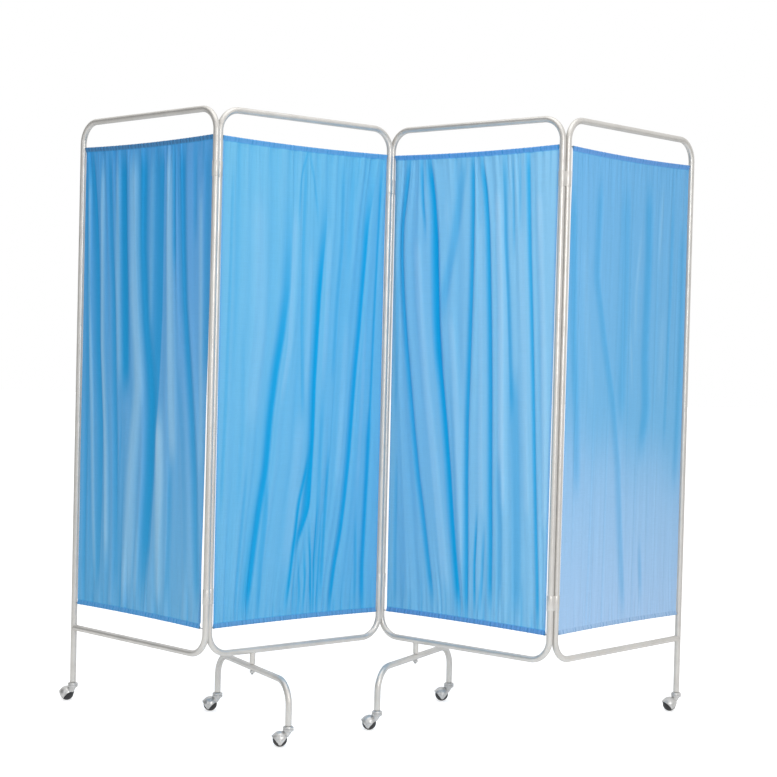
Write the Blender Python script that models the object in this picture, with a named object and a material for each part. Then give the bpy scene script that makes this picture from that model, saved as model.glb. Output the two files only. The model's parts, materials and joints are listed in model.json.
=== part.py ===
"""Four-panel folding ward screen on ball castors, built as separate named pieces.

Every panel is a bent steel tube frame with a gathered curtain on two wires.
Figure-eight sleeves join the posts of neighbouring panels, so each post turns
in its own barrel. The middle panels stand on turning arches, the outer panels
on their own long legs, and every leg ends in a swivelling ball castor.
"""

import math

import bmesh
import bpy
from mathutils import Matrix, Vector

# Frame tubes, in metres
TUBE_RADIUS = 0.009
PANEL_WIDTH = 0.605
TOP_RAIL_HEIGHT = 1.741
BOTTOM_RAIL_HEIGHT = 0.223
BEND_RADIUS = 0.062
FIT_GAP = 0.0003

# Plan of the open screen, in degrees counted from +X about +Z
PANEL_YAWS = {1: -43.0, 2: 39.1, 3: -38.8, 4: 45.8}
SLEEVE_YAWS = {12: 69.1, 23: 63.4, 34: 35.4}

# Hinge sleeves
POST_SPACING = 0.0207
SLEEVE_RADIUS = 0.0102
SLEEVE_BORE = 0.0093
SLEEVE_HEIGHT = 0.042
SLEEVE_WEB_LENGTH = 0.0107
SLEEVE_WEB_WIDTH = 0.011
UPPER_SLEEVE_DROP = 0.168
LOWER_SLEEVE_RISE = 0.165
SLEEVE_CENTRES = {"upper": TOP_RAIL_HEIGHT - UPPER_SLEEVE_DROP,
                  "lower": BOTTOM_RAIL_HEIGHT + LOWER_SLEEVE_RISE}

# Arches under the middle panels
ARCH_HALF_SPAN = 0.237
ARCH_DROP = 0.049
ARCH_HEIGHT = BOTTOM_RAIL_HEIGHT - ARCH_DROP
ARCH_BEND_RADIUS = 0.065
ARCH_2_PLACE = 0.149
ARCH_3_PLACE = 0.134
ARCH_TURNS = {2: 80.7, 3: 101.1}
ARCH_POST_RADIUS = 0.008
STUD_RADIUS = 0.004
STUD_BORE = 0.0043
STUD_TOP_DROP = 0.020
STUD_TOP = BOTTOM_RAIL_HEIGHT - STUD_TOP_DROP
NUT_GAP = 0.0005
NUT_RADIUS = 0.0073
NUT_HEIGHT = 0.0065
NUT_TOP = ARCH_HEIGHT - TUBE_RADIUS - NUT_GAP
STUD_END = 0.0045
STUD_TIP = NUT_TOP - NUT_HEIGHT - STUD_END

# Legs and their plugs
LEG_END_HEIGHT = 0.0583
SOCKET_RADIUS = 0.0078
SOCKET_DEPTH = 0.030
PLUG_RADIUS = 0.0075
PLUG_FLANGE_RADIUS = 0.0082
PLUG_FLANGE_HEIGHT = 0.0014
PLUG_DEPTH = 0.027
WELD_RADIUS = 0.0099
WELD_START = 0.003
WELD_END = 0.0140
RAIL_STOP = 0.0125

# Castors
BALL_RADIUS = 0.020
BALL_BORE = 0.0024
BALL_HALF_WIDTH = 0.0185
TREAD_HALF_WIDTH = 0.0025
TRAIL = 0.022
HOOD_RADIUS = 0.0232
HOOD_SHELL_INSIDE = 0.0218
HOOD_EDGE_RISE = 0.009
TONGUE_HALF_WIDTH = 0.0045
TONGUE_DROP = 0.0125
AXLE_RADIUS = 0.002
AXLE_HOLE_RADIUS = 0.0023
AXLE_HALF_LENGTH = 0.0233
AXLE_HEAD_RADIUS = 0.0034
AXLE_HEAD_THICKNESS = 0.0013
RACE_RADIUS = 0.0150
RACE_BOTTOM = 0.0425
RACE_SPLIT = 0.0492
RACE_TOP = 0.0563
RACE_CHAMFER = 0.0018
NECK_TOP_RADIUS = 0.0125
NECK_BOTTOM_RADIUS = 0.0085
NECK_BOTTOM = 0.027
NECK_SHIFT = 0.007
NECK_OVERLAP = 0.0015
STEM_RADIUS = 0.004
STEM_BORE = 0.0043
STEM_HEAD_RADIUS = 0.0055
STEM_HEAD_POCKET = 0.0058
STEM_HEAD_BOTTOM = 0.0405
STEM_HEAD_THICKNESS = 0.0015
STEM_TOP = 0.083
CASTOR_HEADINGS = {"left_leg": 152.0, "arch_2_rear": 167.0, "arch_2_front": 186.0,
                   "arch_3_front": 170.0, "arch_3_rear": 186.0, "right_leg": 200.0}

# Curtain wires and curtains
WIRE_RADIUS = 0.0015
WIRE_HOLE_RADIUS = 0.0020
WIRE_HOLE_DEPTH = 0.005
TOP_WIRE_DROP = 0.0760
BOTTOM_WIRE_RISE = 0.0755
WIRE_HEIGHTS = {"top": TOP_RAIL_HEIGHT - TOP_WIRE_DROP,
                "bottom": BOTTOM_RAIL_HEIGHT + BOTTOM_WIRE_RISE}
WIRE_BOWS = {"top": -0.005, "bottom": 0.003}
WIRE_SEGMENTS = 5
CLOTH_THICKNESS = 0.0012
CASING_HALF_WIDTH = 0.0032
CASING_CREST_HALF_WIDTH = 0.0022
CASING_BORE_HALF = 0.0019
CASING_CREST = 0.0031
CASING_SHOULDER = 0.0025
HEM_HEIGHT = 0.014
FOLD_FADE_HEIGHT = 0.11
FOLD_DEPTH = 0.0065
FOLD_COUNT = 6
FOLD_STATIONS = 4
FOLD_LEAN_SHARE = 0.35
CURTAIN_INSETS = {1: {"top": (0.0135, 0.0135), "bottom": (0.019, 0.028)},
                  2: {"top": (0.0135, 0.0135), "bottom": (0.016, 0.014)},
                  3: {"top": (0.0140, 0.0135), "bottom": (0.023, 0.016)},
                  4: {"top": (0.0250, 0.0135), "bottom": (0.018, 0.0135)}}

# Facets
TUBE_SIDES = 14
BEND_STEPS = 5
SMALL_SIDES = 12
HOLE_SIDES = 8
WIRE_SIDES = 6
NUT_SIDES = 6
BALL_SIDES = 14
HOOD_SIDES = 14
HOOD_RINGS = 8
MERGE_DISTANCE = 0.00001
SHARP_ANGLE = 46.0

# Finishes: colour, metallic share, roughness share
FINISHES = {"steel": ((0.72, 0.73, 0.74), 1.0, 0.28),
            "chrome": ((0.80, 0.80, 0.81), 1.0, 0.16),
            "wire": ((0.55, 0.56, 0.58), 1.0, 0.40),
            "nylon": ((0.60, 0.60, 0.61), 0.0, 0.55),
            "rubber": ((0.035, 0.035, 0.036), 0.0, 0.60),
            "cloth": ((0.16, 0.46, 0.80), 0.0, 0.85)}


def clear_scene():
    """Remove every object that the file opened with."""
    for obj in list(bpy.data.objects):
        bpy.data.objects.remove(obj, do_unlink=True)


def finish_material(finish):
    """Return the Principled material of one finish, made on first use."""
    found = bpy.data.materials.get(finish)
    if found:
        return found
    colour, metallic, roughness = FINISHES[finish]
    made = bpy.data.materials.new(finish)
    made.use_nodes = True
    shader = made.node_tree.nodes["Principled BSDF"]
    shader.inputs["Base Color"].default_value = (*colour, 1.0)
    shader.inputs["Metallic"].default_value = metallic
    shader.inputs["Roughness"].default_value = roughness
    made.diffuse_color = (*colour, 1.0)
    return made


def empty(name, parent, place, turn=0.0):
    """Add an empty on a joint's axis, turned by degrees about +Z."""
    obj = bpy.data.objects.new(name, None)
    bpy.context.scene.collection.objects.link(obj)
    obj.parent = parent
    obj.location = place
    obj.rotation_euler.z = math.radians(turn)
    return obj


def object_from(bm, name, parent=None, finish=None, place=(0, 0, 0)):
    """Close and orient a bmesh, then link it as a named object."""
    bmesh.ops.remove_doubles(bm, verts=bm.verts, dist=MERGE_DISTANCE)
    bmesh.ops.recalc_face_normals(bm, faces=bm.faces)
    mesh = bpy.data.meshes.new(name)
    bm.to_mesh(mesh)
    bm.free()
    obj = bpy.data.objects.new(name, mesh)
    bpy.context.scene.collection.objects.link(obj)
    obj.parent = parent
    obj.location = place
    if finish:
        mesh.materials.append(finish_material(finish))
    return obj


def evaluated_mesh(obj):
    """Return the mesh that the viewport shows for an object."""
    graph = bpy.context.evaluated_depsgraph_get()
    return bpy.data.meshes.new_from_object(obj.evaluated_get(graph), depsgraph=graph)


def combine(obj, tool, operation):
    """Apply one exact boolean to an object and remove the tool."""
    change = obj.modifiers.new(operation.lower(), "BOOLEAN")
    change.object = tool
    change.operation = operation
    change.solver = "EXACT"
    bpy.context.view_layer.update()
    result = evaluated_mesh(obj)
    obj.modifiers.clear()
    obj.data = result
    bpy.data.objects.remove(tool, do_unlink=True)
    return obj


def cylinder(bm, start, end, radius, sides, end_radius=None):
    """Add a capped cylinder or cone between two points to a bmesh."""
    start, end = Vector(start), Vector(end)
    axis = end - start
    turn = Vector((0, 0, 1)).rotation_difference(axis).to_matrix().to_4x4()
    middle = Matrix.Translation(start.lerp(end, 0.5))
    bmesh.ops.create_cone(bm, cap_ends=True, segments=sides, radius1=radius,
                          radius2=radius if end_radius is None else end_radius,
                          depth=axis.length, matrix=middle @ turn)


def cylinders(name, rods, parent):
    """Make one tool object holding several separate rods."""
    bm = bmesh.new()
    for start, end, radius, sides in rods:
        cylinder(bm, start, end, radius, sides)
    return object_from(bm, name, parent)


def box(bm, low, high):
    """Add a box between two corners to a bmesh."""
    low, high = Vector(low), Vector(high)
    size = Matrix.Diagonal((*(high - low), 1.0))
    bmesh.ops.create_cube(bm, size=1.0, matrix=Matrix.Translation(low.lerp(high, 0.5)) @ size)


def lathe(name, profile, sides, parent, finish, place=(0, 0, 0), along_y=False):
    """Spin a closed profile of (radius, height) points about its axis."""
    bm = bmesh.new()
    points = [bm.verts.new((radius, 0, height)) for radius, height in profile]
    edges = [bm.edges.new((points[i - 1], points[i])) for i in range(1, len(points))]
    if profile[0][0] > 0:
        edges.append(bm.edges.new((points[-1], points[0])))
    bmesh.ops.spin(bm, geom=points + edges, cent=(0, 0, 0), axis=(0, 0, 1),
                   angle=2 * math.pi, steps=sides, use_merge=True)
    if along_y:
        facet_down = Matrix.Rotation(math.pi / 2 - math.pi / sides, 3, "Z")
        bmesh.ops.rotate(bm, verts=bm.verts, cent=(0, 0, 0), matrix=facet_down)
        lay = Matrix.Rotation(math.pi / 2, 3, "X")
        bmesh.ops.rotate(bm, verts=bm.verts, cent=(0, 0, 0), matrix=lay)
    return object_from(bm, name, parent, finish, place)


def rounded_path(corners, bend_radius, closed=False):
    """Return points along a path in the XZ plane with its corners rounded."""
    points = []
    count = len(corners)
    for i, corner in enumerate(corners):
        here = Vector(corner)
        if not closed and i in (0, count - 1):
            points.append(here)
            continue
        before = (Vector(corners[i - 1]) - here).normalized()
        after = (Vector(corners[(i + 1) % count]) - here).normalized()
        centre = here + (before + after) * bend_radius
        for step in range(BEND_STEPS + 1):
            angle = math.pi / 2 * step / BEND_STEPS
            points.append(centre - after * bend_radius * math.cos(angle)
                          - before * bend_radius * math.sin(angle))
    return points


def bent_tube(name, points, radius, sides, parent, finish, closed=False):
    """Bevel a poly curve into a capped round bar and return it as a mesh."""
    curve = bpy.data.curves.new(name, "CURVE")
    curve.dimensions = "3D"
    curve.bevel_depth = radius
    curve.bevel_resolution = sides // 2 - 2
    curve.use_fill_caps = True
    spline = curve.splines.new("POLY")
    spline.points.add(len(points) - 1)
    for spot, point in zip(spline.points, points):
        spot.co = (point[0], 0, point[1], 1)
    spline.use_cyclic_u = closed
    guide = bpy.data.objects.new(name + "_path", curve)
    bpy.context.scene.collection.objects.link(guide)
    bm = bmesh.new()
    bm.from_mesh(evaluated_mesh(guide))
    bpy.data.objects.remove(guide, do_unlink=True)
    return object_from(bm, name, parent, finish)


def wire_height(end, x):
    """Return the height of a curtain wire at x, bowed between its posts."""
    share = (x - TUBE_RADIUS) / (PANEL_WIDTH - 2 * TUBE_RADIUS)
    return WIRE_HEIGHTS[end] + WIRE_BOWS[end] * max(0, 4 * share * (1 - share))


def frame_tube(number, parent, left):
    """Bend one panel's frame, weld its rail and bore its holes."""
    right = left + PANEL_WIDTH
    top, bottom = TOP_RAIL_HEIGHT, BOTTOM_RAIL_HEIGHT
    name = f"frame_tube_{number}"
    if number in (2, 3):
        corners = [(left, bottom), (left, top), (right, top), (right, bottom)]
        path = rounded_path(corners, BEND_RADIUS, closed=True)
        frame = bent_tube(name, path, TUBE_RADIUS, TUBE_SIDES, parent, "steel", closed=True)
    else:
        leg, post = (left, right) if number == 1 else (right, left)
        inward = 1 if number == 1 else -1
        corners = [(leg, LEG_END_HEIGHT), (leg, top), (post, top), (post, bottom),
                   (leg + inward * RAIL_STOP, bottom)]
        path = rounded_path(corners, BEND_RADIUS)
        frame = bent_tube(name, path, TUBE_RADIUS, TUBE_SIDES, parent, "steel")
        weld = [((leg + inward * WELD_START, 0, bottom),
                 (leg + inward * WELD_END, 0, bottom), WELD_RADIUS, TUBE_SIDES)]
        combine(frame, cylinders("weld", weld, parent), "UNION")
    holes = []
    for height in WIRE_HEIGHTS.values():
        for post, inward in ((left, 1), (right, -1)):
            deep = post + inward * (TUBE_RADIUS - WIRE_HOLE_DEPTH)
            mouth = post + inward * (TUBE_RADIUS + WIRE_HOLE_DEPTH)
            holes.append(((deep, 0, height), (mouth, 0, height), WIRE_HOLE_RADIUS, HOLE_SIDES))
    if number in (1, 4):
        holes.append(socket_rod(leg))
    return combine(frame, cylinders("holes", holes, parent), "DIFFERENCE")


def socket_rod(x):
    """Return the rod that bores the castor socket in a leg's lower end."""
    mouth = LEG_END_HEIGHT - SOCKET_DEPTH
    return ((x, 0, mouth), (x, 0, LEG_END_HEIGHT + SOCKET_DEPTH), SOCKET_RADIUS, TUBE_SIDES)


def curtain_wire(number, end, parent, left):
    """Stretch one bowed wire between the two posts of a panel."""
    start = TUBE_RADIUS - WIRE_HOLE_DEPTH + FIT_GAP
    clear = PANEL_WIDTH - 2 * TUBE_RADIUS
    reach = [TUBE_RADIUS + clear * step / WIRE_SEGMENTS for step in range(WIRE_SEGMENTS + 1)]
    points = [(left + x, wire_height(end, x)) for x in (start, *reach, PANEL_WIDTH - start)]
    return bent_tube(f"{end}_wire_{number}", points, WIRE_RADIUS, WIRE_SIDES, parent, "wire")


def curtain_section(x_top, x_bottom, fold, left):
    """Return the outline of the cloth and its two bores at one station."""
    top = wire_height("top", x_top)
    bottom = wire_height("bottom", x_bottom)
    half = CLOTH_THICKNESS / 2

    def spot(y, z):
        share = (z - bottom) / (top - bottom)
        return (left + x_bottom + (x_top - x_bottom) * share, y, z)

    def casing(centre, up):
        return [(CASING_HALF_WIDTH, centre - up * CASING_SHOULDER),
                (CASING_CREST_HALF_WIDTH, centre + up * CASING_CREST),
                (-CASING_CREST_HALF_WIDTH, centre + up * CASING_CREST),
                (-CASING_HALF_WIDTH, centre - up * CASING_SHOULDER)]

    levels = [(top - HEM_HEIGHT, 0.0), (top - FOLD_FADE_HEIGHT, fold),
              (bottom + FOLD_FADE_HEIGHT, fold), (bottom + HEM_HEIGHT, 0.0)]
    back = [(middle - half, height) for height, middle in levels]
    front = [(middle + half, height) for height, middle in reversed(levels)]
    outline = casing(top, 1) + back + list(reversed(casing(bottom, -1))) + front
    corner = CASING_BORE_HALF
    bores = [[(side_y * corner, centre + side_z * corner)
              for side_y, side_z in ((1, 1), (-1, 1), (-1, -1), (1, -1))]
             for centre in (top, bottom)]
    return [[spot(y, z) for y, z in loop] for loop in (outline, *bores)]


def curtain(number, parent, left):
    """Loft one gathered curtain with a casing around each of its wires."""
    insets = CURTAIN_INSETS[number]
    stations = FOLD_COUNT * FOLD_STATIONS
    bm = bmesh.new()
    loops_before = None
    for station in range(stations + 1):
        share = station / stations
        reach = {end: inset[0] + (PANEL_WIDTH - sum(inset)) * share
                 for end, inset in insets.items()}
        phase = 2 * math.pi * FOLD_COUNT * share
        fold = FOLD_DEPTH * math.sin(phase + FOLD_LEAN_SHARE * math.sin(phase))
        section = curtain_section(reach["top"], reach["bottom"], fold, left)
        loops = [[bm.verts.new(point) for point in loop] for loop in section]
        rings = [[bm.edges.new((loop[i - 1], loop[i])) for i in range(len(loop))]
                 for loop in loops]
        if station in (0, stations):
            ends = [edge for ring in rings for edge in ring]
            bmesh.ops.triangle_fill(bm, use_beauty=True, edges=ends)
        if loops_before:
            for old, new in zip(loops_before, loops):
                for i in range(len(new)):
                    bm.faces.new((old[i - 1], old[i], new[i], new[i - 1]))
        loops_before = loops
    return object_from(bm, f"curtain_{number}", parent, "cloth")


def hinge_sleeve(level, pair, parent, side):
    """Make a figure-eight sleeve around two posts, from the parent's axis."""
    centre = SLEEVE_CENTRES[level]
    low, high = centre - SLEEVE_HEIGHT / 2, centre + SLEEVE_HEIGHT / 2
    other = side * POST_SPACING
    name = f"hinge_sleeve_{level}_{pair}"
    bm = bmesh.new()
    cylinder(bm, (0, 0, low), (0, 0, high), SLEEVE_RADIUS, TUBE_SIDES)
    sleeve = object_from(bm, name, parent, "steel")
    bm = bmesh.new()
    middle = other / 2
    box(bm, (middle - SLEEVE_WEB_LENGTH / 2, -SLEEVE_WEB_WIDTH / 2, low),
        (middle + SLEEVE_WEB_LENGTH / 2, SLEEVE_WEB_WIDTH / 2, high))
    combine(sleeve, object_from(bm, "web", parent), "UNION")
    barrel = [((other, 0, low), (other, 0, high), SLEEVE_RADIUS, TUBE_SIDES)]
    combine(sleeve, cylinders("barrel", barrel, parent), "UNION")
    bores = [((x, 0, low - SLEEVE_HEIGHT), (x, 0, high + SLEEVE_HEIGHT), SLEEVE_BORE,
              TUBE_SIDES) for x in (0, other)]
    return combine(sleeve, cylinders("bores", bores, parent), "DIFFERENCE")


def arch_post(number, parent, x):
    """Make the short post that is welded under a middle panel's rail."""
    low = ARCH_HEIGHT + TUBE_RADIUS + FIT_GAP
    bm = bmesh.new()
    cylinder(bm, (x, 0, low), (x, 0, BOTTOM_RAIL_HEIGHT), ARCH_POST_RADIUS, TUBE_SIDES)
    post = object_from(bm, f"arch_post_{number}", parent, "steel")
    reach = 2 * TUBE_RADIUS
    cuts = [((x - reach, 0, BOTTOM_RAIL_HEIGHT), (x + reach, 0, BOTTOM_RAIL_HEIGHT),
             TUBE_RADIUS + FIT_GAP, 2 * TUBE_SIDES)]
    combine(post, cylinders("saddle", cuts, parent), "DIFFERENCE")
    bore = [((x, 0, low - reach), (x, 0, STUD_TOP + FIT_GAP), STUD_BORE, SMALL_SIDES)]
    return combine(post, cylinders("stud_bore", bore, parent), "DIFFERENCE")


def arch(number, parent):
    """Bend a middle panel's foot arch and bore it for its stud and castors."""
    corners = [(-ARCH_HALF_SPAN, LEG_END_HEIGHT), (-ARCH_HALF_SPAN, ARCH_HEIGHT),
               (ARCH_HALF_SPAN, ARCH_HEIGHT), (ARCH_HALF_SPAN, LEG_END_HEIGHT)]
    path = rounded_path(corners, ARCH_BEND_RADIUS)
    foot = bent_tube(f"foot_arch_{number}", path, TUBE_RADIUS, TUBE_SIDES, parent, "steel")
    reach = 2 * TUBE_RADIUS
    rods = [((0, 0, ARCH_HEIGHT - reach), (0, 0, ARCH_HEIGHT + reach), STUD_BORE, SMALL_SIDES),
            socket_rod(-ARCH_HALF_SPAN), socket_rod(ARCH_HALF_SPAN)]
    return combine(foot, cylinders("holes", rods, parent), "DIFFERENCE")


def arch_fasteners(number, parent, x):
    """Make the stud that an arch turns on and the nut under it."""
    stud = [(0, STUD_TIP), (STUD_RADIUS, STUD_TIP), (STUD_RADIUS, STUD_TOP), (0, STUD_TOP)]
    lathe(f"pivot_stud_{number}", stud, SMALL_SIDES, parent, "chrome", (x, 0, 0))
    bm = bmesh.new()
    cylinder(bm, (x, 0, NUT_TOP - NUT_HEIGHT), (x, 0, NUT_TOP), NUT_RADIUS, NUT_SIDES)
    nut = object_from(bm, f"pivot_nut_{number}", parent, "chrome")
    thread = [((x, 0, STUD_TIP), (x, 0, STUD_TOP), STUD_BORE, SMALL_SIDES)]
    combine(nut, cylinders("thread", thread, parent), "DIFFERENCE")


def leg_plug(place_name, parent, x):
    """Make the flanged bush that holds a castor stem in a leg."""
    flange_top = LEG_END_HEIGHT - FIT_GAP
    flange_low = flange_top - PLUG_FLANGE_HEIGHT
    top = LEG_END_HEIGHT + PLUG_DEPTH
    profile = [(STEM_BORE, flange_low), (PLUG_FLANGE_RADIUS, flange_low),
               (PLUG_FLANGE_RADIUS, flange_top), (PLUG_RADIUS, flange_top),
               (PLUG_RADIUS, top), (STEM_BORE, top)]
    return lathe(f"leg_plug_{place_name}", profile, SMALL_SIDES, parent, "nylon", (x, 0, 0))


def castor_stem(place_name, parent, x):
    """Make the fixed stem with its upper race and its lower head."""
    head_top = STEM_HEAD_BOTTOM + STEM_HEAD_THICKNESS
    plate_low = RACE_SPLIT + FIT_GAP
    profile = [(0, STEM_HEAD_BOTTOM), (STEM_HEAD_RADIUS, STEM_HEAD_BOTTOM),
               (STEM_HEAD_RADIUS, head_top), (STEM_RADIUS, head_top),
               (STEM_RADIUS, plate_low), (RACE_RADIUS, plate_low),
               (RACE_RADIUS, RACE_TOP - 2 * RACE_CHAMFER),
               (RACE_RADIUS - 2 * RACE_CHAMFER, RACE_TOP),
               (STEM_RADIUS, RACE_TOP), (STEM_RADIUS, STEM_TOP), (0, STEM_TOP)]
    return lathe(f"castor_stem_{place_name}", profile, SMALL_SIDES, parent, "chrome", (x, 0, 0))


def castor_hood(place_name, parent):
    """Make the hood: a domed shell, two tongues and the lower race."""
    ball = Vector((TRAIL, 0, BALL_RADIUS))
    at_ball = Matrix.Translation(ball)
    bm = bmesh.new()
    bmesh.ops.create_uvsphere(bm, u_segments=HOOD_SIDES, v_segments=HOOD_RINGS,
                              radius=HOOD_RADIUS, matrix=at_ball)
    hood = object_from(bm, f"castor_hood_{place_name}", parent, "chrome")
    bm = bmesh.new()
    far = 2 * HOOD_RADIUS
    outline = [(-far, far), (-far, HOOD_EDGE_RISE), (-HOOD_RADIUS, HOOD_EDGE_RISE),
               (-TONGUE_HALF_WIDTH, -TONGUE_DROP), (TONGUE_HALF_WIDTH, -TONGUE_DROP),
               (HOOD_RADIUS, HOOD_EDGE_RISE), (far, HOOD_EDGE_RISE), (far, far)]
    rim = [bm.verts.new((ball.x + x, -far, ball.z + z)) for x, z in outline]
    face = bm.faces.new(rim)
    pushed = bmesh.ops.extrude_face_region(bm, geom=[face])["geom"]
    moved = [item for item in pushed if isinstance(item, bmesh.types.BMVert)]
    bmesh.ops.translate(bm, verts=moved, vec=(0, 2 * far, 0))
    combine(hood, object_from(bm, "hood_outline", parent), "INTERSECT")
    bm = bmesh.new()
    cylinder(bm, (NECK_SHIFT, 0, NECK_BOTTOM), (0, 0, RACE_BOTTOM + NECK_OVERLAP),
             NECK_BOTTOM_RADIUS, SMALL_SIDES, NECK_TOP_RADIUS)
    combine(hood, object_from(bm, "neck", parent), "UNION")
    race = [((0, 0, RACE_BOTTOM), (0, 0, RACE_SPLIT), RACE_RADIUS, SMALL_SIDES)]
    combine(hood, cylinders("race", race, parent), "UNION")
    bm = bmesh.new()
    bmesh.ops.create_uvsphere(bm, u_segments=HOOD_SIDES, v_segments=HOOD_RINGS,
                              radius=HOOD_SHELL_INSIDE, matrix=at_ball)
    combine(hood, object_from(bm, "inside", parent), "DIFFERENCE")
    pocket_low = STEM_HEAD_BOTTOM - FIT_GAP
    pocket_top = STEM_HEAD_BOTTOM + STEM_HEAD_THICKNESS + FIT_GAP
    above = RACE_SPLIT + RACE_CHAMFER
    pocket = [(0, pocket_low), (STEM_HEAD_POCKET, pocket_low), (STEM_HEAD_POCKET, pocket_top),
              (STEM_BORE, pocket_top), (STEM_BORE, above), (0, above)]
    combine(hood, lathe("pocket", pocket, SMALL_SIDES, parent, None), "DIFFERENCE")
    holes = [((ball.x, -far, ball.z), (ball.x, far, ball.z), AXLE_HOLE_RADIUS, HOLE_SIDES)]
    return combine(hood, cylinders("axle_holes", holes, parent), "DIFFERENCE")


def ball_wheel(place_name, parent):
    """Make the rubber ball with a bore, flat sides and a narrow flat tread."""
    rim = BALL_RADIUS / math.cos(math.pi / BALL_SIDES)
    edge = math.sqrt(rim ** 2 - BALL_HALF_WIDTH ** 2)
    first, last = math.acos(TREAD_HALF_WIDTH / rim), math.acos(BALL_HALF_WIDTH / rim)
    steps = 3
    arc = []
    for step in range(steps):
        angle = first + (last - first) * (step + 1) / steps
        arc.append((rim * math.sin(angle), rim * math.cos(angle)))
    upper = [(rim, TREAD_HALF_WIDTH), *arc[:-1], (edge, BALL_HALF_WIDTH),
             (BALL_BORE, BALL_HALF_WIDTH)]
    profile = [(radius, -height) for radius, height in reversed(upper)] + upper
    return lathe(f"ball_wheel_{place_name}", profile, BALL_SIDES, parent, "rubber", along_y=True)


def castor_axle(place_name, parent):
    """Make the riveted axle through the tongues and the ball."""
    end = AXLE_HALF_LENGTH + AXLE_HEAD_THICKNESS
    upper = [(AXLE_RADIUS, AXLE_HALF_LENGTH), (AXLE_HEAD_RADIUS, AXLE_HALF_LENGTH),
             (AXLE_HEAD_RADIUS, end), (0, end)]
    profile = [(radius, -height) for radius, height in reversed(upper)] + upper
    place = (TRAIL, 0, BALL_RADIUS)
    return lathe(f"castor_axle_{place_name}", profile, HOLE_SIDES, parent, "chrome", place,
                 along_y=True)


def castor(place_name, parent, x, parent_yaw):
    """Fit one complete ball castor under the leg at x."""
    leg_plug(place_name, parent, x)
    castor_stem(place_name, parent, x)
    heading = CASTOR_HEADINGS[place_name] - parent_yaw
    swivel = empty(f"swivel_{place_name}", parent, (x, 0, 0), heading)
    castor_hood(place_name, swivel)
    castor_axle(place_name, swivel)
    spin = empty(f"spin_{place_name}", swivel, (TRAIL, 0, BALL_RADIUS))
    ball_wheel(place_name, spin)


def panel(number, parent, left):
    """Build one panel's frame, wires and curtain from its left post at x."""
    frame_tube(number, parent, left)
    for end in WIRE_HEIGHTS:
        curtain_wire(number, end, parent, left)
    curtain(number, parent, left)


def foot(number, parent, place):
    """Build the arch under a middle panel at x = place, with its castors."""
    arch_post(number, parent, place)
    arch_fasteners(number, parent, place)
    turning = empty(f"arch_axis_{number}", parent, (place, 0, 0), ARCH_TURNS[number])
    arch(number, turning)
    yaw = PANEL_YAWS[number] + ARCH_TURNS[number]
    castor(f"arch_{number}_rear", turning, ARCH_HALF_SPAN, yaw)
    castor(f"arch_{number}_front", turning, -ARCH_HALF_SPAN, yaw)


def sleeves(pair, parent, x, side, parent_yaw):
    """Hang both sleeves of a fold on the post at x and return their empty."""
    axis = empty(f"fold_axis_{pair}", parent, (x, 0, 0), SLEEVE_YAWS[pair] - parent_yaw)
    for level in SLEEVE_CENTRES:
        hinge_sleeve(level, pair, axis, side)
    return axis


def centre_on_floor(root):
    """Move the root so that the whole screen's bounding box is centred."""
    bpy.context.view_layer.update()
    corners = [obj.matrix_world @ vertex.co for obj in bpy.data.objects
               if obj.type == "MESH" for vertex in obj.data.vertices]
    low = [min(corner[axis] for corner in corners) for axis in range(2)]
    high = [max(corner[axis] for corner in corners) for axis in range(2)]
    root.location = (-(low[0] + high[0]) / 2, -(low[1] + high[1]) / 2, 0)


def smooth_all():
    """Shade every piece smooth, with its sharp edges kept."""
    for obj in bpy.data.objects:
        if obj.type == "MESH":
            obj.data.shade_smooth()
            obj.data.set_sharp_from_angle(angle=math.radians(SHARP_ANGLE))


def main():
    """Build the whole screen around the second panel."""
    clear_scene()
    root = empty("screen_root", None, (0, 0, 0))
    panel_2 = empty("panel_axis_2", root, (0, 0, 0), PANEL_YAWS[2])
    panel(2, panel_2, 0)
    foot(2, panel_2, ARCH_2_PLACE)

    fold_12 = sleeves(12, panel_2, 0, -1, PANEL_YAWS[2])
    panel_1 = empty("panel_axis_1", fold_12, (-POST_SPACING, 0, 0),
                    PANEL_YAWS[1] - SLEEVE_YAWS[12])
    panel(1, panel_1, -PANEL_WIDTH)
    castor("left_leg", panel_1, -PANEL_WIDTH, PANEL_YAWS[1])

    fold_23 = sleeves(23, panel_2, PANEL_WIDTH, 1, PANEL_YAWS[2])
    panel_3 = empty("panel_axis_3", fold_23, (POST_SPACING, 0, 0),
                    PANEL_YAWS[3] - SLEEVE_YAWS[23])
    panel(3, panel_3, 0)
    foot(3, panel_3, ARCH_3_PLACE)

    fold_34 = sleeves(34, panel_3, PANEL_WIDTH, 1, PANEL_YAWS[3])
    panel_4 = empty("panel_axis_4", fold_34, (POST_SPACING, 0, 0),
                    PANEL_YAWS[4] - SLEEVE_YAWS[34])
    panel(4, panel_4, 0)
    castor("right_leg", panel_4, PANEL_WIDTH, PANEL_YAWS[4])
    centre_on_floor(root)
    smooth_all()


main()
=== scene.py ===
"""Dress the folding ward screen with finer tubes, castors and gathered curtains."""
import json
import logging
import math
from dataclasses import dataclass, field
from enum import Enum
from typing import Sequence

import bmesh
import bpy
import numpy as np
from mathutils import Matrix, Vector


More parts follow.
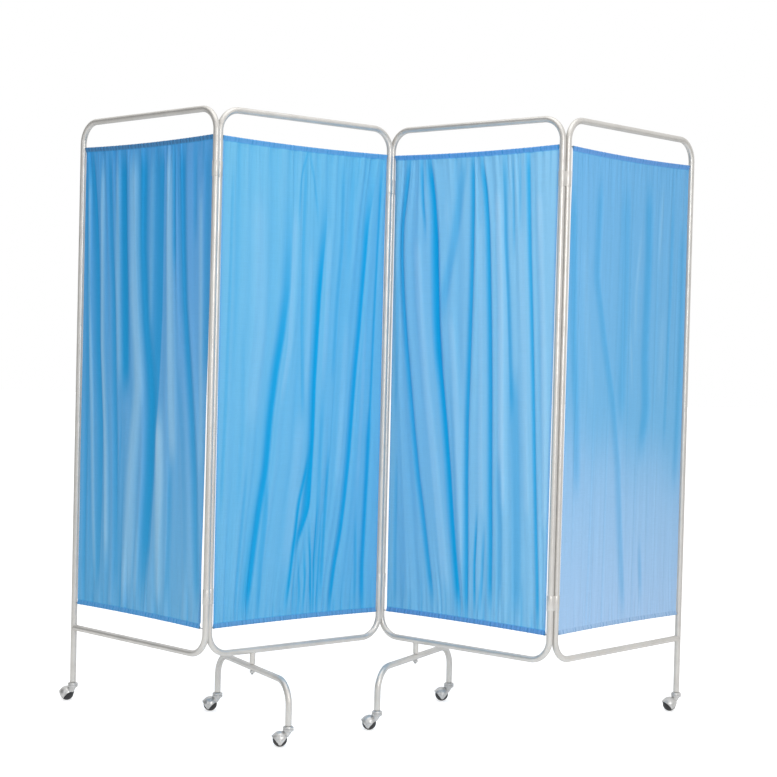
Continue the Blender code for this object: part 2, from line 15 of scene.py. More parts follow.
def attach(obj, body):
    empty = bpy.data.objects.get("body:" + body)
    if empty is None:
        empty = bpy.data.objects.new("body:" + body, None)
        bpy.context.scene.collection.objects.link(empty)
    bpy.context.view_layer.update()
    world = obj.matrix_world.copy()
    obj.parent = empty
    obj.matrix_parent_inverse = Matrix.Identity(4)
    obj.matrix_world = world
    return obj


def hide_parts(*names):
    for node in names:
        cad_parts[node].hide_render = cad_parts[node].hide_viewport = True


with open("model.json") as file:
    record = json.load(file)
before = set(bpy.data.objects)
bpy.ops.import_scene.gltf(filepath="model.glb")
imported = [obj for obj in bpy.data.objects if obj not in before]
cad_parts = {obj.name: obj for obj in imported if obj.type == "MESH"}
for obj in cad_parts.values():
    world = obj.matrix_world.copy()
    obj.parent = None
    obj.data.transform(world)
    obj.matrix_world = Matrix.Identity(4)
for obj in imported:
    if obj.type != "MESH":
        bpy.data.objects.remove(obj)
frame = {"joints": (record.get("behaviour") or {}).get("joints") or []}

LOG = logging.getLogger("ward_screen")
MM = 0.001
MERGE_DISTANCE = 0.01 * MM
POINT_RADIUS = 0.4 * MERGE_DISTANCE
SLIVER = 0.03 * MM
UP = Vector((0, 0, 1))
ACROSS = Vector((1, 0, 0))
HALF_TURN = math.pi
QUARTER_TURN = math.pi / 2

PANEL_WIDTH = 605.0 * MM
RAIL_HEIGHT = 223.0 * MM
LEG_END = 58.3 * MM
TUBE_RADIUS = 9.0 * MM
SOCKET_RADIUS = 7.8 * MM
SOCKET_DEPTH = 30.0 * MM

Grid = np.ndarray
Piece = bpy.types.Object
Profile = Sequence[tuple[float, float]]
Materials = dict["Finish", bpy.types.Material]


# Materials

# The range that nearly all of a noise texture's values lie in.
NOISE_LOW, NOISE_HIGH = 0.3, 0.7
# The length of one band of a wave texture whose scale is 1.
BAND_LENGTH = 0.314


def linear(code: str) -> tuple[float, float, float, float]:
    """Turn an sRGB hex colour into linear red, green, blue and alpha.

    Args:
        code: six hex digits.

    Returns:
        The linear colour, with an alpha of 1.
    """
    shares = [int(code[start:start + 2], 16) / 255 for start in (0, 2, 4)]
    light = [s / 12.92 if s <= 0.04045 else ((s + 0.055) / 1.055) ** 2.4 for s in shares]
    return (light[0], light[1], light[2], 1.0)


def connect(tree: bpy.types.NodeTree, node: bpy.types.Node, links: dict) -> None:
    """Link other nodes to a node's inputs.

    Args:
        tree: the tree that the node is in.
        node: the node.
        links: output sockets for its inputs, by name or input number, or nodes whose
            first output is meant.
    """
    for key, source in links.items():
        if isinstance(source, bpy.types.Node):
            source = source.outputs[0]
        tree.links.new(source, node.inputs[key])


def add_node(tree: bpy.types.NodeTree, kind: str, settings: dict | None = None,
             links: dict | None = None) -> bpy.types.Node:
    """Add one node to a tree.

    Args:
        tree: the node tree of a material or of the world.
        kind: the node's type name without its ShaderNode.
        settings: values for its properties and inputs, by name or input number.
        links: what its inputs are linked to, as for connect.

    Returns:
        The new node.
    """
    node = tree.nodes.new("ShaderNode" + kind)
    for key, value in (settings or {}).items():
        if isinstance(key, str) and hasattr(node, key):
            setattr(node, key, value)
        else:
            node.inputs[key].default_value = value
    connect(tree, node, links or {})
    return node


def new_material(name: str, settings: dict | None = None
                 ) -> tuple[bpy.types.Material, bpy.types.NodeTree, bpy.types.Node]:
    """Start a material that has only its shader.

    Args:
        name: what the finish is.
        settings: the values that are the same all over it, by the shader's input.

    Returns:
        The material, its node tree and its Principled shader.
    """
    material = bpy.data.materials.new(name)
    material.use_nodes = True
    tree = material.node_tree
    tree.nodes.clear()
    shader = add_node(tree, "BsdfPrincipled", settings)
    add_node(tree, "OutputMaterial", links={"Surface": shader})
    return material, tree, shader


@dataclass(frozen=True)
class PolishedMetal:
    """A polished or plated metal: soft highlights, faint rub marks and small dents."""

    name: str
    colour: str
    worn_colour: str
    smooth: float
    rubbed: float
    patch_mm: float
    grain_mm: float
    dent: float
    metallic: float = 0.55

    def build(self) -> bpy.types.Material:
        """Build the metal's nodes and return the material."""
        material, tree, shader = new_material(self.name, {"Metallic": self.metallic})
        place = add_node(tree, "TexCoord").outputs["Object"]
        patches = add_node(tree, "TexNoise", {"Scale": 1 / (self.patch_mm * MM), "Detail": 4.0,
                                              "Roughness": 0.6}, {"Vector": place})
        grain = add_node(tree, "TexNoise", {"Scale": 1 / (self.grain_mm * MM), "Detail": 2.0},
                         {"Vector": place})
        worn = add_node(tree, "MapRange", {"From Min": 0.42, "From Max": 0.68}, {"Value": patches})
        colour = add_node(tree, "Mix", {"data_type": "RGBA", 6: linear(self.colour),
                                        7: linear(self.worn_colour)}, {0: worn})
        rough = add_node(tree, "MapRange", {"From Min": NOISE_LOW, "From Max": NOISE_HIGH,
                                            "To Min": self.smooth, "To Max": self.rubbed},
                         {"Value": patches})
        bump = add_node(tree, "Bump", {"Strength": self.dent, "Distance": 0.1 * MM},
                        {"Height": grain})
        connect(tree, shader, {"Base Color": colour.outputs[2], "Roughness": rough, "Normal": bump})
        return material


@dataclass(frozen=True)
class SpringWire:
    """A close-wound zinc-plated spring wire: grey, with fine rings and painted groove shade."""

    name: str = "zinc plated spring wire"
    colour: str = "B9BCBE"
    groove_shade_colour: str = "85888A"
    pitch_mm: float = 1.6
    roughness: float = 0.38

    def build(self) -> bpy.types.Material:
        """Build the wire's nodes and return the material."""
        material, tree, shader = new_material(self.name, {"Metallic": 1.0,
                                                          "Roughness": self.roughness})
        along = add_node(tree, "UVMap", {"uv_map": "along"})
        turns = add_node(tree, "TexWave", {"wave_type": "BANDS", "bands_direction": "X",
                                           "Scale": BAND_LENGTH / (self.pitch_mm * MM)},
                         {"Vector": along})
        # The grooves between the turns take the darker colour: painted shade.
        shade = add_node(tree, "Mix", {"data_type": "RGBA", 6: linear(self.groove_shade_colour),
                                       7: linear(self.colour)}, {0: turns.outputs["Fac"]})
        bump = add_node(tree, "Bump", {"Strength": 0.6, "Distance": 0.3 * MM},
                        {"Height": turns.outputs["Fac"]})
        connect(tree, shader, {"Base Color": shade.outputs[2], "Normal": bump})
        return material


@dataclass(frozen=True)
class MouldedPlastic:
    """Moulded nylon or rubber: a dull skin with fine grain and dust."""

    name: str
    colour: str
    dusty_colour: str
    roughness: float
    grain_mm: float
    dust_mm: float
    relief: float

    def build(self) -> bpy.types.Material:
        """Build the plastic's nodes and return the material."""
        material, tree, shader = new_material(self.name)
        place = add_node(tree, "TexCoord").outputs["Object"]
        dust = add_node(tree, "TexNoise", {"Scale": 1 / (self.dust_mm * MM), "Detail": 5.0},
                        {"Vector": place})
        grain = add_node(tree, "TexNoise", {"Scale": 1 / (self.grain_mm * MM), "Detail": 2.0},
                         {"Vector": place})
        cover = add_node(tree, "MapRange", {"From Min": 0.45, "From Max": 0.8}, {"Value": dust})
        colour = add_node(tree, "Mix", {"data_type": "RGBA", 6: linear(self.colour),
                                        7: linear(self.dusty_colour)}, {0: cover})
        rough = add_node(tree, "MapRange", {"To Min": self.roughness - 0.08,
                                            "To Max": self.roughness + 0.12}, {"Value": dust})
        bump = add_node(tree, "Bump", {"Strength": self.relief, "Distance": 0.1 * MM},
                        {"Height": grain})
        connect(tree, shader, {"Base Color": colour.outputs[2], "Roughness": rough, "Normal": bump})
        return material


@dataclass(frozen=True)
class GatheredPolyester:
    """A plain woven polyester curtain cloth, whose folds are painted a deeper blue as shade.

    The threads are 0.3 mm apart on the real cloth, too fine to show, so they are drawn
    1.6 mm apart, with long slubs along both threads.

    Its open parts lie between mid and lit. Folds get painted shade (deep, and shaded_deep in
    shade) and ridges painted highlight (pale). Hems and painted shade share one colour, a
    painted pale haze of light lies on some parts, and the puckered casings get painted shade.
    """

    name: str
    mid: str = "70BBE2"
    lit: str = "76BFE6"
    deep: str = "12A3DE"
    shaded_deep: str = "0489CE"
    pale: str = "A0CFEE"
    hem: str = "629AE5"
    painted_haze: str = "AACCF0"
    casing_shade: str = "47526A"
    thread_mm: float = 1.6
    patches_per_metre: float = 9.0
    roughness: float = 0.65

    def build(self) -> bpy.types.Material:
        """Build the cloth's nodes and return the material."""
        material, tree, shader = new_material(self.name, {
            "Roughness": self.roughness, "Sheen Weight": 0.01, "Sheen Roughness": 0.5,
            "Specular IOR Level": 0.06})
        flat = add_node(tree, "UVMap", {"uv_map": "cloth"})
        marks = add_node(tree, "VertexColor", {"layer_name": "folds"})
        split = add_node(tree, "SeparateColor", links={0: marks})
        # A painted pale haze of light, strongest towards a curtain's foot.
        haze_share = add_node(tree, "Attribute", {"attribute_name": "painted_haze"})
        threads = []
        for stretch in ((1.0, 0.03, 1.0), (0.03, 1.0, 1.0)):
            spread = add_node(tree, "Mapping", {"Scale": stretch}, {"Vector": flat})
            threads.append(add_node(tree, "TexNoise", {"Scale": 1 / (self.thread_mm * MM),
                                                       "Detail": 3.0}, {"Vector": spread}))
        weave = add_node(tree, "Math", {"operation": "ADD"}, {0: threads[0], 1: threads[1]})
        patches = add_node(tree, "TexNoise", {"Scale": self.patches_per_metre, "Detail": 3.0},
                           {"Vector": flat})
        last = add_node(tree, "Mix", {"data_type": "RGBA", 6: linear(self.mid),
                                      7: linear(self.lit)}, {0: patches})
        # Pale is painted highlight on ridges and wave crests.
        for code, share in ((self.pale, split.outputs["Blue"]),
                            (self.hem, split.outputs["Green"]),
                            (self.painted_haze, haze_share.outputs["Fac"])):
            last = add_node(tree, "Mix", {"data_type": "RGBA", 7: linear(code)}, {0: share,
                                                                                  6: last.outputs[2]})
        # Where the hems' colour lies, on hems and as painted shade, the folds' shade is darker too.
        valley = add_node(tree, "Mix", {"data_type": "RGBA", 6: linear(self.deep),
                                        7: linear(self.shaded_deep)}, {0: split.outputs["Green"]})
        # The folds' deeper blue is painted shade.
        last = add_node(tree, "Mix", {"data_type": "RGBA"}, {0: split.outputs["Red"],
                                                             6: last.outputs[2],
                                                             7: valley.outputs[2]})
        # Painted shade on the puckered casings, where four layers lie, darkest in the creases.
        last = add_node(tree, "Mix", {"data_type": "RGBA", 7: linear(self.casing_shade)},
                        {0: marks.outputs["Alpha"], 6: last.outputs[2]})
        # The two threads' noises add up, so their range is twice one noise's.
        tone = add_node(tree, "MapRange", {"From Min": 2 * NOISE_LOW, "From Max": 2 * NOISE_HIGH,
                                           "To Min": 0.95, "To Max": 1.05}, {"Value": weave})
        colour = add_node(tree, "VectorMath", {"operation": "SCALE"}, {0: last.outputs[2],
                                                                       "Scale": tone})
        bump = add_node(tree, "Bump", {"Strength": 0.2, "Distance": 0.2 * MM}, {"Height": weave})
        connect(tree, shader, {"Base Color": colour, "Normal": bump})
        return material


class Finish(Enum):
    """The finishes of the screen, by the material slot that each belongs to."""

    STEEL = "steel"
    CHROME = "chrome"
    WIRE = "wire"
    NYLON = "nylon"
    RUBBER = "rubber"
    CLOTH = "cloth"


def build_finishes() -> Materials:
    """Build every finish once and return the materials by finish."""
    makers = {
        # Silver coated steel tube: satin, with broad soft highlights. Its colour is painted a
        # little warm to offset the blue that it reflects from the curtains beside it.
        Finish.STEEL: PolishedMetal(
            "silver coated steel tube", "D1CEC9", "C8C5C0", smooth=0.35, rubbed=0.42,
            patch_mm=60.0, grain_mm=6.0, dent=0.0),
        # Plated pressed steel: brighter and a little sharper than the tube.
        Finish.CHROME: PolishedMetal(
            "bright plated pressed steel", "CBCAC8", "B8B7B5", smooth=0.28, rubbed=0.40,
            patch_mm=12.0, grain_mm=1.2, dent=0.03),
        Finish.WIRE: SpringWire(),
        # Injection moulded bush: dull and slightly yellowed.
        Finish.NYLON: MouldedPlastic(
            "moulded nylon bush", "C9C9C4", "A9A9A4", roughness=0.5, grain_mm=1.5,
            dust_mm=8.0, relief=0.2),
        # Moulded rubber ball: nearly black, greyed by floor dust.
        Finish.RUBBER: MouldedPlastic(
            "moulded black rubber", "1F1F20", "3A3A3A", roughness=0.5, grain_mm=0.9,
            dust_mm=11.0, relief=0.35),
        Finish.CLOTH: GatheredPolyester("woven polyester curtain"),
    }
    return {finish: maker.build() for finish, maker in makers.items()}


# Hand tools

class Cut(Enum):
    """What a Boolean modifier does with its tool."""

    ADD = "UNION"
    REMOVE = "DIFFERENCE"
    KEEP = "INTERSECT"


def deselect() -> None:
    """Leave edit mode and deselect every object."""
    if bpy.context.object and bpy.context.object.mode != "OBJECT":
        bpy.ops.object.mode_set(mode="OBJECT")
    bpy.ops.object.select_all(action="DESELECT")


def pick(piece: Piece) -> None:
    """Make a piece the active object and the only selected one."""
    deselect()
    bpy.context.view_layer.objects.active = piece
    piece.select_set(True)


def edit_all(piece: Piece) -> None:
    """Open a piece in edit mode with all of it selected."""
    pick(piece)
    bpy.ops.object.mode_set(mode="EDIT")
    bpy.ops.mesh.select_all(action="SELECT")


def extrude(move: Sequence[float]) -> None:
    """Extrude what is selected by a move."""
    bpy.ops.mesh.extrude_region_move(TRANSFORM_OT_translate={"value": move})


def arc(steps: int, whole: float = QUARTER_TURN) -> list[tuple[float, float]]:
    """Return the cosine and sine at each step of an arc that starts at an angle of 0.

    Args:
        steps: how many steps there are.
        whole: the angle of the whole arc.

    Returns:
        One more pair than there are steps.
    """
    angles = [whole * step / steps for step in range(steps + 1)]
    return [(math.cos(angle), math.sin(angle)) for angle in angles]


def finish_shape(place: Vector = Vector((0, 0, 0))) -> Piece:
    """Merge doubles, turn the faces outwards and leave edit mode.

    Args:
        place: a move to bake into the mesh.

    Returns:
        The object that was being edited, at the origin.
    """
    bpy.ops.mesh.select_all(action="SELECT")
    bpy.ops.mesh.remove_doubles(threshold=MERGE_DISTANCE)
    bpy.ops.mesh.normals_make_consistent(inside=False)
    bpy.ops.object.mode_set(mode="OBJECT")
    piece = bpy.context.object
    piece.data.transform(Matrix.Translation(place) @ piece.matrix_world)
    piece.matrix_world = Matrix.Identity(4)
    return piece


def rings(profile: Profile, sides: int, place: Vector = Vector((0, 0, 0)),
          closed: bool = False) -> Piece:
    """Turn a round piece about Z by extruding and scaling a circle ring by ring.

    Args:
        profile: (radius, height) of each ring in turn; a radius of 0 ends in a point.
        sides: the points in each ring.
        place: where the piece's own origin lies.
        closed: True where the last ring meets the first, as on a piece with a bore.

    Returns:
        The piece, with merged points and its faces turned outwards.
    """
    deselect()
    radius, height = profile[0]
    bpy.ops.mesh.primitive_circle_add(
        vertices=sides, radius=max(radius, POINT_RADIUS), fill_type="NOTHING",
        location=(0, 0, 0), enter_editmode=True)
    bpy.ops.transform.translate(value=(0, 0, height))
    if radius == 0:
        bpy.ops.mesh.edge_face_add()
    for start, end in zip(profile, profile[1:]):
        extrude((0, 0, end[1] - start[1]))
        scale = max(end[0], POINT_RADIUS) / max(start[0], POINT_RADIUS)
        bpy.ops.transform.resize(value=(scale, scale, 1), center_override=(0, 0, end[1]))
    if profile[-1][0] == 0:
        bpy.ops.mesh.merge(type="CENTER")
    elif not closed:
        bpy.ops.mesh.edge_face_add()
    return finish_shape(place)


def cylinder(radius: float, low: float, high: float, sides: int,
             place: Vector = Vector((0, 0, 0))) -> Piece:
    """Turn a plain cylinder with flat ends as the blank or the tool for a finer piece.

    Args:
        radius: its radius.
        low: the height of its foot.
        high: the height of its top.
        sides: the points in each ring.
        place: where its own origin lies.

    Returns:
        The closed cylinder.
    """
    piece = rings([(radius, low), (radius, high)], sides, place)
    edit_all(piece)
    bpy.ops.mesh.fill_holes(sides=0)
    bpy.ops.mesh.normals_make_consistent(inside=False)
    bpy.ops.object.mode_set(mode="OBJECT")
    return piece


def sphere(radius: float, rows: int, place: Vector = Vector((0, 0, 0))) -> Piece:
    """Turn a sphere as the blank or the tool for a finer piece.

    Args:
        radius: its radius.
        rows: its rings from pole to pole; each has twice as many points.
        place: where its middle lies.

    Returns:
        The closed sphere.
    """
    middle = [(radius * sin, -radius * cos) for cos, sin in arc(rows, HALF_TURN)[1:-1]]
    return rings([(0.0, -radius), *middle, (0.0, radius)], 2 * rows, place)


def clear_slivers(piece: Piece) -> None:
    """Merge the tiny edges and faces that a Boolean or a bevel leaves on a piece."""
    edit_all(piece)
    bpy.ops.mesh.remove_doubles(threshold=SLIVER)
    bpy.ops.mesh.dissolve_degenerate(threshold=SLIVER)
    bpy.ops.object.mode_set(mode="OBJECT")


def apply_modifier(piece: Piece, kind: str, settings: dict) -> None:
    """Add a modifier to a piece, apply it and clear what slivers it leaves.

    Args:
        piece: the piece.
        kind: the modifier's type name.
        settings: its properties by name.
    """
    pick(piece)
    modifier = piece.modifiers.new(kind.lower(), kind)
    for key, value in settings.items():
        setattr(modifier, key, value)
    bpy.ops.object.modifier_apply(modifier=modifier.name)
    clear_slivers(piece)


def combine(piece: Piece, tool: Piece, cut: Cut) -> None:
    """Change a piece by a tool, which is used up."""
    apply_modifier(piece, "BOOLEAN", {"operation": cut.value, "solver": "EXACT",
                                      "object": tool})
    bpy.data.objects.remove(tool, do_unlink=True)


def soften(piece: Piece, width: float, segments: int, angle: float) -> None:
    """Round off a piece's edges that are sharper than an angle in degrees."""
    apply_modifier(piece, "BEVEL", {"width": width, "segments": segments,
                                    "limit_method": "ANGLE",
                                    "angle_limit": math.radians(angle),
                                    "use_clamp_overlap": True})


def join(pieces: Sequence[Piece]) -> Piece:
    """Join pieces that are welded or pressed together and return the one object."""
    deselect()
    for piece in pieces:
        piece.select_set(True)
    bpy.context.view_layer.objects.active = pieces[0]
    bpy.ops.object.join()
    return pieces[0]


def splice(pieces: Sequence[Piece]) -> Piece:
    """Join tubes whose open rings meet into one tube and return it."""
    join(pieces)
    bpy.ops.object.mode_set(mode="EDIT")
    return finish_shape()


def copy_of(master: Piece) -> Piece:
    """Return a copy of a piece with a mesh of its own."""
    copy = master.copy()
    copy.data = master.data.copy()
    bpy.context.scene.collection.objects.link(copy)
    return copy


def dress(piece: Piece, name: str, finish: Finish, body: str, node: str,
          materials: Materials, place: Matrix, angle: float = 35.0) -> None:
    """Name, place, shade and register one finished piece.

    Args:
        piece: the finished mesh object.
        name: the piece's name.
        finish: its finish, whose value is also its material slot.
        body: the body that it rides on.
        node: the CAD node that it stands for.
        materials: the built finishes.
        place: the piece's place in the frame, baked into its mesh.
        angle: the angle above which an edge is shaded sharp, in degrees.
    """
    pick(piece)
    piece.name = name
    piece.data.name = name
    piece.data.transform(place)
    piece.data.materials.append(materials[finish])
    bpy.ops.object.shade_smooth_by_angle(angle=math.radians(angle))
    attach(piece, body)
    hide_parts(node)
    LOG.info("%s: %d faces, rides on %s", name, len(piece.data.polygons), body)


@dataclass
class TubeBender:
    """Bends a round tube in the XZ plane, run by run, from a circle."""

    radius: float = TUBE_RADIUS
    bend_radius: float = 62.0 * MM
    sides: int = 32
    bend_steps: int = 14
    place: Vector = field(init=False)
    heading: Vector = field(init=False)

    def start(self, place: Vector, heading: Vector) -> None:
        """Lay the first ring of the tube.

        Args:
            place: the middle of the ring.
            heading: the direction in which the tube sets off.
        """
        deselect()
        self.place, self.heading = place.copy(), heading.copy()
        turn = UP.rotation_difference(heading).to_euler()
        bpy.ops.mesh.primitive_circle_add(
            vertices=self.sides, radius=self.radius, fill_type="NOTHING",
            location=(0, 0, 0), rotation=turn, enter_editmode=True)
        bpy.ops.transform.translate(value=place)

    def run(self, length: float) -> None:
        """Push the tube straight on by a length."""
        extrude(self.heading * length)
        self.place = self.place + self.heading * length

    def bend(self, towards: Vector) -> None:
        """Bend the tube by a quarter turn towards a direction."""
        centre = self.place + towards * self.bend_radius
        axis = self.heading.cross(towards)
        bpy.ops.mesh.spin(steps=self.bend_steps, dupli=False, angle=-QUARTER_TURN,
                          center=centre, axis=axis)
        self.place = centre + self.heading * self.bend_radius
        self.heading = towards.copy()

    def step_in(self, inner: float, depth: float) -> None:
        """Turn the tube's end inwards and bore a socket back into it.

        Args:
            inner: the socket's radius.
            depth: the socket's depth.
        """
        scale = inner / self.radius
        extrude((0, 0, 0))
        bpy.ops.transform.resize(value=(scale, scale, scale), center_override=self.place)
        extrude(-self.heading * depth)
        self.cap()

    def cap(self) -> None:
        """Close the tube's open end with a flat face."""
        bpy.ops.mesh.edge_face_add()


def weld_bead(place: Vector, axis: Vector, radius: float, thickness: float
              ) -> Piece:
    """Lay a weld bead where a round tube meets the side of a frame tube.

    Args:
        place: where the two tubes' axes meet.
        axis: the direction in which the welded tube leaves.
        radius: the welded tube's radius.
        thickness: the bead's own radius.

    Returns:
        The bead as a closed ring with small ripples.
    """
    deselect()
    bpy.ops.mesh.primitive_torus_add(
        major_segments=56, minor_segments=8, major_radius=radius, minor_radius=thickness,
        location=(0, 0, 0))
    bead = bpy.context.object
    for vertex in bead.data.vertices:
        angle = math.atan2(vertex.co.y, vertex.co.x)
        spot = Vector((math.cos(angle), math.sin(angle), 0)) * radius
        ripple = 1 + 0.18 * math.sin(14 * angle) + 0.1 * math.sin(23 * angle + 1)
        vertex.co = spot + (vertex.co - spot) * ripple
        vertex.co.z += math.sqrt(max(TUBE_RADIUS ** 2 - spot.y ** 2, 0))
    # The bead's own Z turns to the axis, and its Y stays level with the other tube's side.
    side = Vector((0, 1, 0))
    along = side.cross(axis)
    turn = Matrix((along, side, axis)).transposed().to_4x4()
    bead.data.transform(Matrix.Translation(place) @ turn)
    return bead


# Places read from the frame

def joint_place(name: str) -> Vector:
    """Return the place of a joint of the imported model."""
    return next(Vector(joint["pos_m"]) for joint in frame["joints"] if joint["name"] == name)


def upright(place: Vector, across: Vector) -> Matrix:
    """Return the place of a piece that stands at a point with its X along a direction.

    Args:
        place: a point, of which only X and Y count.
        across: the direction of the piece's own X.

    Returns:
        The matrix that takes the piece there.
    """
    flat = Vector((across.x, across.y, 0)).normalized()
    turn = Matrix((flat, UP.cross(flat), UP)).transposed().to_4x4()
    return Matrix.Translation(Vector((place.x, place.y, 0))) @ turn


# Curtains

# The range of a random phase, about one whole turn.
PHASES = (0, 6.3)


def ramp(value: Grid, start: float, reach: float) -> Grid:
    """Return how far each value has come from a start over a reach, from 0 to 1."""
    return np.clip((value - start) / reach, 0, 1)


def ease(share: Grid) -> Grid:
    """Round off both ends of shares that run from 0 to 1."""
    return share * share * (3 - 2 * share)


def layer(under: Grid, over: Grid) -> Grid:
    """Lay one share of a colour over another and return what both give."""
    return under + (1 - under) * over


def between(first: float, second: float, share: Grid) -> Grid:
    """Return the mix of two values: the first at a share of 0, the second at 1."""
    return first + (second - first) * share


def wrap(values: Grid) -> Grid:
    """Repeat rows that run up the cloth's front for its back, which runs down again.

    Args:
        values: one row for each height; both faces share the first and the last.

    Returns:
        The rows of the whole loop.
    """
    return np.concatenate([values, values[1:-1][::-1]], 0)


class Wire(Enum):
    """The two wires that hold a curtain."""

    TOP = "top"
    BOTTOM = "bottom"


@dataclass(frozen=True)
class Fold:
    """One long fold of a curtain, a valley or a ridge, that drops off steeply on its right.

    Args:
        track: (percent of the width, percent of the height) from its top to its foot.
        tint: how much painted shade deepens its blue, or below 0 painted highlight paling it.
        width: how far it reaches on its gentle side, in millimetres.
        edge: how far it reaches on its steep side, in millimetres.
        fade: the share of the height over which it comes in at its top.
    """

    track: tuple[tuple[float, float], ...]
    tint: float
    width: float
    edge: float
    fade: float = 0.10

    @property
    def spots(self) -> list[tuple[float, float]]:
        """Return its track as shares of the width and the height, from its foot up."""
        return sorted(((x / 100, height / 100) for x, height in self.track),
                      key=lambda spot: spot[1])

    @property
    def depth(self) -> float:
        """Return how deep it is in metres, or below 0 how high."""
        return self.tint * min(4.5, 0.17 * self.width) * MM

    @property
    def leads(self) -> bool:
        """Return whether it is strong and long enough for small waves to run along it."""
        return self.tint >= 0.6 and len(self.track) > 5

    def middle(self, row: Grid) -> Grid:
        """Return where the fold's line crosses each height, as a share of the width."""
        places, heights = zip(*self.spots)
        grid = np.linspace(-0.1, 1.1, 241)
        line = np.interp(grid, heights, places)
        window = np.hanning(15)
        spare = len(window) // 2
        padded = np.concatenate([np.full(spare, line[0]), line, np.full(spare, line[-1])])
        return np.interp(row, grid, np.convolve(padded, window / window.sum(), "valid"))

    def presence(self, row: Grid) -> Grid:
        """Return how strong the fold is at each height, from 0 to 1.

        It fades out round the foot of its track. A quick fade at its top lies round the
        track's end too, and a slow one only starts there.
        """
        foot, top = self.spots[0][1], self.spots[-1][1]
        quick = 0.10
        lead = 0.5 if self.fade <= quick else 0.0
        share = (np.clip((row - foot) / quick + 0.5, 0, 1)
                 * np.clip((top - row) / self.fade + lead, 0, 1))
        return ease(share)


@dataclass
class Relief:
    """What some folds do to the cloth at each of its points.

    Args:
        shift: how far they push it back, in metres.
        deep: how much deeper their painted shade makes its blue.
        pale: how much paler their painted highlight makes it.
    """

    shift: Grid
    deep: Grid
    pale: Grid

    @classmethod
    def none(cls, like: Grid) -> "Relief":
        """Return the relief of a flat cloth with as many points as another array."""
        return cls(np.zeros_like(like), np.zeros_like(like), np.zeros_like(like))


@dataclass
class Cloth:
    """The points of a curtain in rows from its foot to its top.

    Args:
        share: the share of the width at each point.
        row: the share of the height.
        crest: the distance from the nearer casing's crest.
        below: the distance below the stiff part of the top casing.
        above: the distance above the stiff part of the bottom casing.
        ruffle: how the casings pucker across the width, round 0.
        half: half the thickness.
        bent: the share of the width, bent along the long folds.
        tints: the shares of the colours, by name.
    """

    share: Grid
    row: Grid
    x: Grid
    z: Grid
    crest: Grid
    below: Grid
    above: Grid
    ruffle: Grid
    half: Grid
    bent: Grid = field(init=False)
    y: Grid = field(init=False)
    tints: dict[str, Grid] = field(default_factory=dict)


